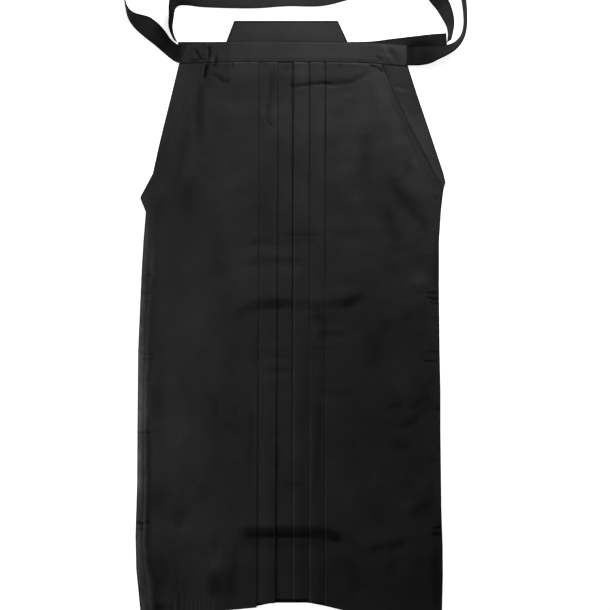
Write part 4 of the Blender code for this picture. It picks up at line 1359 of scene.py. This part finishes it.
@dataclass(frozen=True)
class Studio:
    """A pale floor, soft lights and the camera straight above, in metres."""

    lamps: tuple[Lamp, ...]
    floor: float = 16.0
    floor_z: float = -0.0003
    frame_side: float = 1.0575
    middle: tuple[float, float, float] = (0.0243, -0.3613, 0.005)
    lens: float = 120.0
    sensor: float = 36.0
    room_light: float = 0.01
    floor_glow: float = 0.85

    def floor_material(self) -> bpy.types.Material:
        """Makes a pale, faintly mottled surface and returns it."""
        made = bpy.data.materials.new("pale_floor")
        made.use_nodes = True
        nodes = Nodes(made.node_tree)
        places = nodes.add("TexCoord").outputs["Object"]
        noise = nodes.add("TexNoise", {"Vector": places, "Scale": 4.0})
        tone = nodes.add("Mix", {"Factor": noise.outputs["Fac"], "A": (0.86, 0.86, 0.86, 1.0),
                                 "B": (0.90, 0.90, 0.90, 1.0)}, data_type="RGBA")
        for label, value in (("Base Color", tone.outputs["Result"]), ("Roughness", 0.9),
                             ("Specular IOR Level", 0.1), ("Emission Color", WHITE),
                             ("Emission Strength", self.floor_glow)):
            nodes.put(value, made.node_tree.nodes["Principled BSDF"].inputs[label])
        return made

    def make(self) -> None:
        """Builds the studio."""
        mesh = bmesh.new()
        bmesh.ops.create_grid(mesh, x_segments=1, y_segments=1, size=self.floor / 2)
        data = bpy.data.meshes.new("floor")
        mesh.to_mesh(data)
        mesh.free()
        data.materials.append(self.floor_material())
        floor = add_object("floor", data)
        floor.location.z = self.floor_z
        for lamp in self.lamps:
            lamp.make()
        world = bpy.data.worlds.new("room")
        bpy.context.scene.world = world
        world.use_nodes = True
        sky = world.node_tree.nodes["Background"]
        sky.inputs["Color"].default_value = WHITE
        sky.inputs["Strength"].default_value = self.room_light
        self._camera()
        bpy.context.scene.view_settings.view_transform = "Standard"

    def _camera(self) -> None:
        """Sets the camera straight above the garment."""
        data = bpy.data.cameras.new("camera")
        data.lens = self.lens
        data.sensor_width = self.sensor
        data.clip_end = 100.0
        camera = add_object("camera", data)
        away = self.frame_side * self.lens / self.sensor
        camera.location = Vector(self.middle) + Vector((0.0, 0.0, away))
        bpy.context.scene.camera = camera


LAMPS = (
    Lamp("key_light", (0.42, 0.85, 0.80), (0.12, 0.12, 0.0), 0.8, 23.5),
    Lamp("side_light", (-1.0, -0.85, 0.55), (-0.2, -0.7, 0.0), 0.4, 6.5),
)


class Hakama:
    """The whole garment: its pieces in the order in which they lie on each other."""

    def __init__(self) -> None:
        """Makes the cloths."""
        groups = ShaderGroups()
        self.leg = ClothFinish("leg_weave", 0.0070, 0.0112).material(groups)
        self.lining = ClothFinish("back_weave", 0.0075, 0.0105, crumple_scale=30.0).material(groups)
        self.board = ClothFinish("board_weave", 0.0095, 0.0127, crumple=0.0002, sheen=0.16).material(groups)
        self.belt = ClothFinish("belt_weave", 0.0155, 0.0205, roughness=0.85, specular=0.06, sheen=0.02,
                                crumple=0.0004).material(groups)
        self.band = ClothFinish("band_weave", 0.0098, 0.0134, crumple=0.0004).material(groups)
        self.thread = ClothFinish("thread", 0.014, 0.02, threads=5200.0, crumple=0.0001).material(groups)

    def build_legs(self) -> None:
        """Builds the four leg panels."""
        # Each back leg's painted shadow along the front's edge, and its painted light beyond it
        for side, word, edge, front, dark, light in (
                (-1, "left", LEFT_BACK_SIDE, LEFT_FRONT_SIDE, 0.12, 0.0),
                (1, "right", RIGHT_BACK_SIDE, RIGHT_FRONT_SIDE, 0.8, 0.38)):
            BackLeg(side=side, edge=edge, front=front, slit_shade=dark, beyond_light=light, seam=INNER_SEAM,
                    name=f"back_leg_{word}_cloth", wall=SIZES.back_wall, material=self.lining, slot=Slot.LEG,
                    nodes=(f"back_leg_{word}",)).make()
        for side, word, edge, pleats, hem, tail, frills in (
                (-1, "left", LEFT_FRONT_SIDE, LEFT_PLEATS, LEFT_HEM, LEFT_TAIL, FRILLS),
                (1, "right", RIGHT_FRONT_SIDE, RIGHT_PLEATS, RIGHT_HEM, RIGHT_TAIL, None)):
            FrontLeg(side=side, edge=edge, pleats=pleats, hem=hem, tail=tail, rolled=side < 0, frills=frills,
                     name=f"front_leg_{word}_cloth", wall=SIZES.panel_wall, material=self.leg, slot=Slot.LEG,
                     nodes=(f"front_leg_{word}",)).make()

    def build_waist(self) -> None:
        """Builds the board and the front waistband."""
        Board(name="back_board_cloth", wall=SIZES.board_wall, material=self.board, slot=Slot.BOARD,
              nodes=("back_board",), rounding=0.6).make()
        Waistband(name="waistband_cloth", wall=SIZES.band_wall, material=self.band, slot=Slot.BELT,
                  nodes=("front_waistband",), rounding=0.5).make()

    def build_belts(self) -> None:
        """Builds the belts."""
        for name, rows, lean_side, slant, painted_shade_and_tones, stretches in (
                ("back_belt_left", BACK_LEFT_FLAT, -1, 13.4, (), ("",)),
                ("back_belt_left_top", BACK_LEFT_TOP, -1, 0.0, BACK_LEFT_PAINTED_SHADE, ("",)),
                ("back_belt_right", BACK_RIGHT_FLAT, 1, 14.6, BACK_RIGHT_PAINTED_SHADE, ("",)),
                ("back_belt_right_top", BACK_RIGHT_TOP, 1, 0.0, BACK_RIGHT_TOP_PAINTED_LIGHT, ("",)),
                ("front_belt_left", FRONT_LEFT, 1, 0.0, FRONT_LEFT_PAINTED_SHADE, STRETCHES),
                ("front_belt_right", FRONT_RIGHT, 1, 0.0, FRONT_RIGHT_PAINTED_SHADE, STRETCHES)):
            Belt(rows=rows, lean_side=lean_side, slant=slant, painted_shade_and_tones=painted_shade_and_tones, name=name + "_cloth",
                 wall=SIZES.belt_wall, material=self.belt, slot=Slot.BELT, rounding=0.45,
                 nodes=tuple(name + stretch for stretch in stretches)).make()

    def build_stitches(self) -> None:
        """Builds the row of stitches."""
        across = np.linspace(-122.0, 196.0, 160)
        along = read_table(BAND_ROWS, across) + STITCH_LINE
        relief, _ = FRONT_RELIEF.at(across, along)
        top = read_table(ARCH, across) + SIZES.band_wall + 0.9 * relief - 0.12
        Stitches("waist_stitches", np.stack([across, along, top], 1), StitchSizes(), self.thread,
                 Slot.BELT).make()


def main() -> None:
    """Builds the garment and its studio."""
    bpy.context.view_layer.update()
    hakama = Hakama()
    hakama.build_legs()
    hakama.build_waist()
    hakama.build_belts()
    hakama.build_stitches()
    Studio(LAMPS).make()
    bpy.context.view_layer.update()


if __name__ == "__main__":
    main()
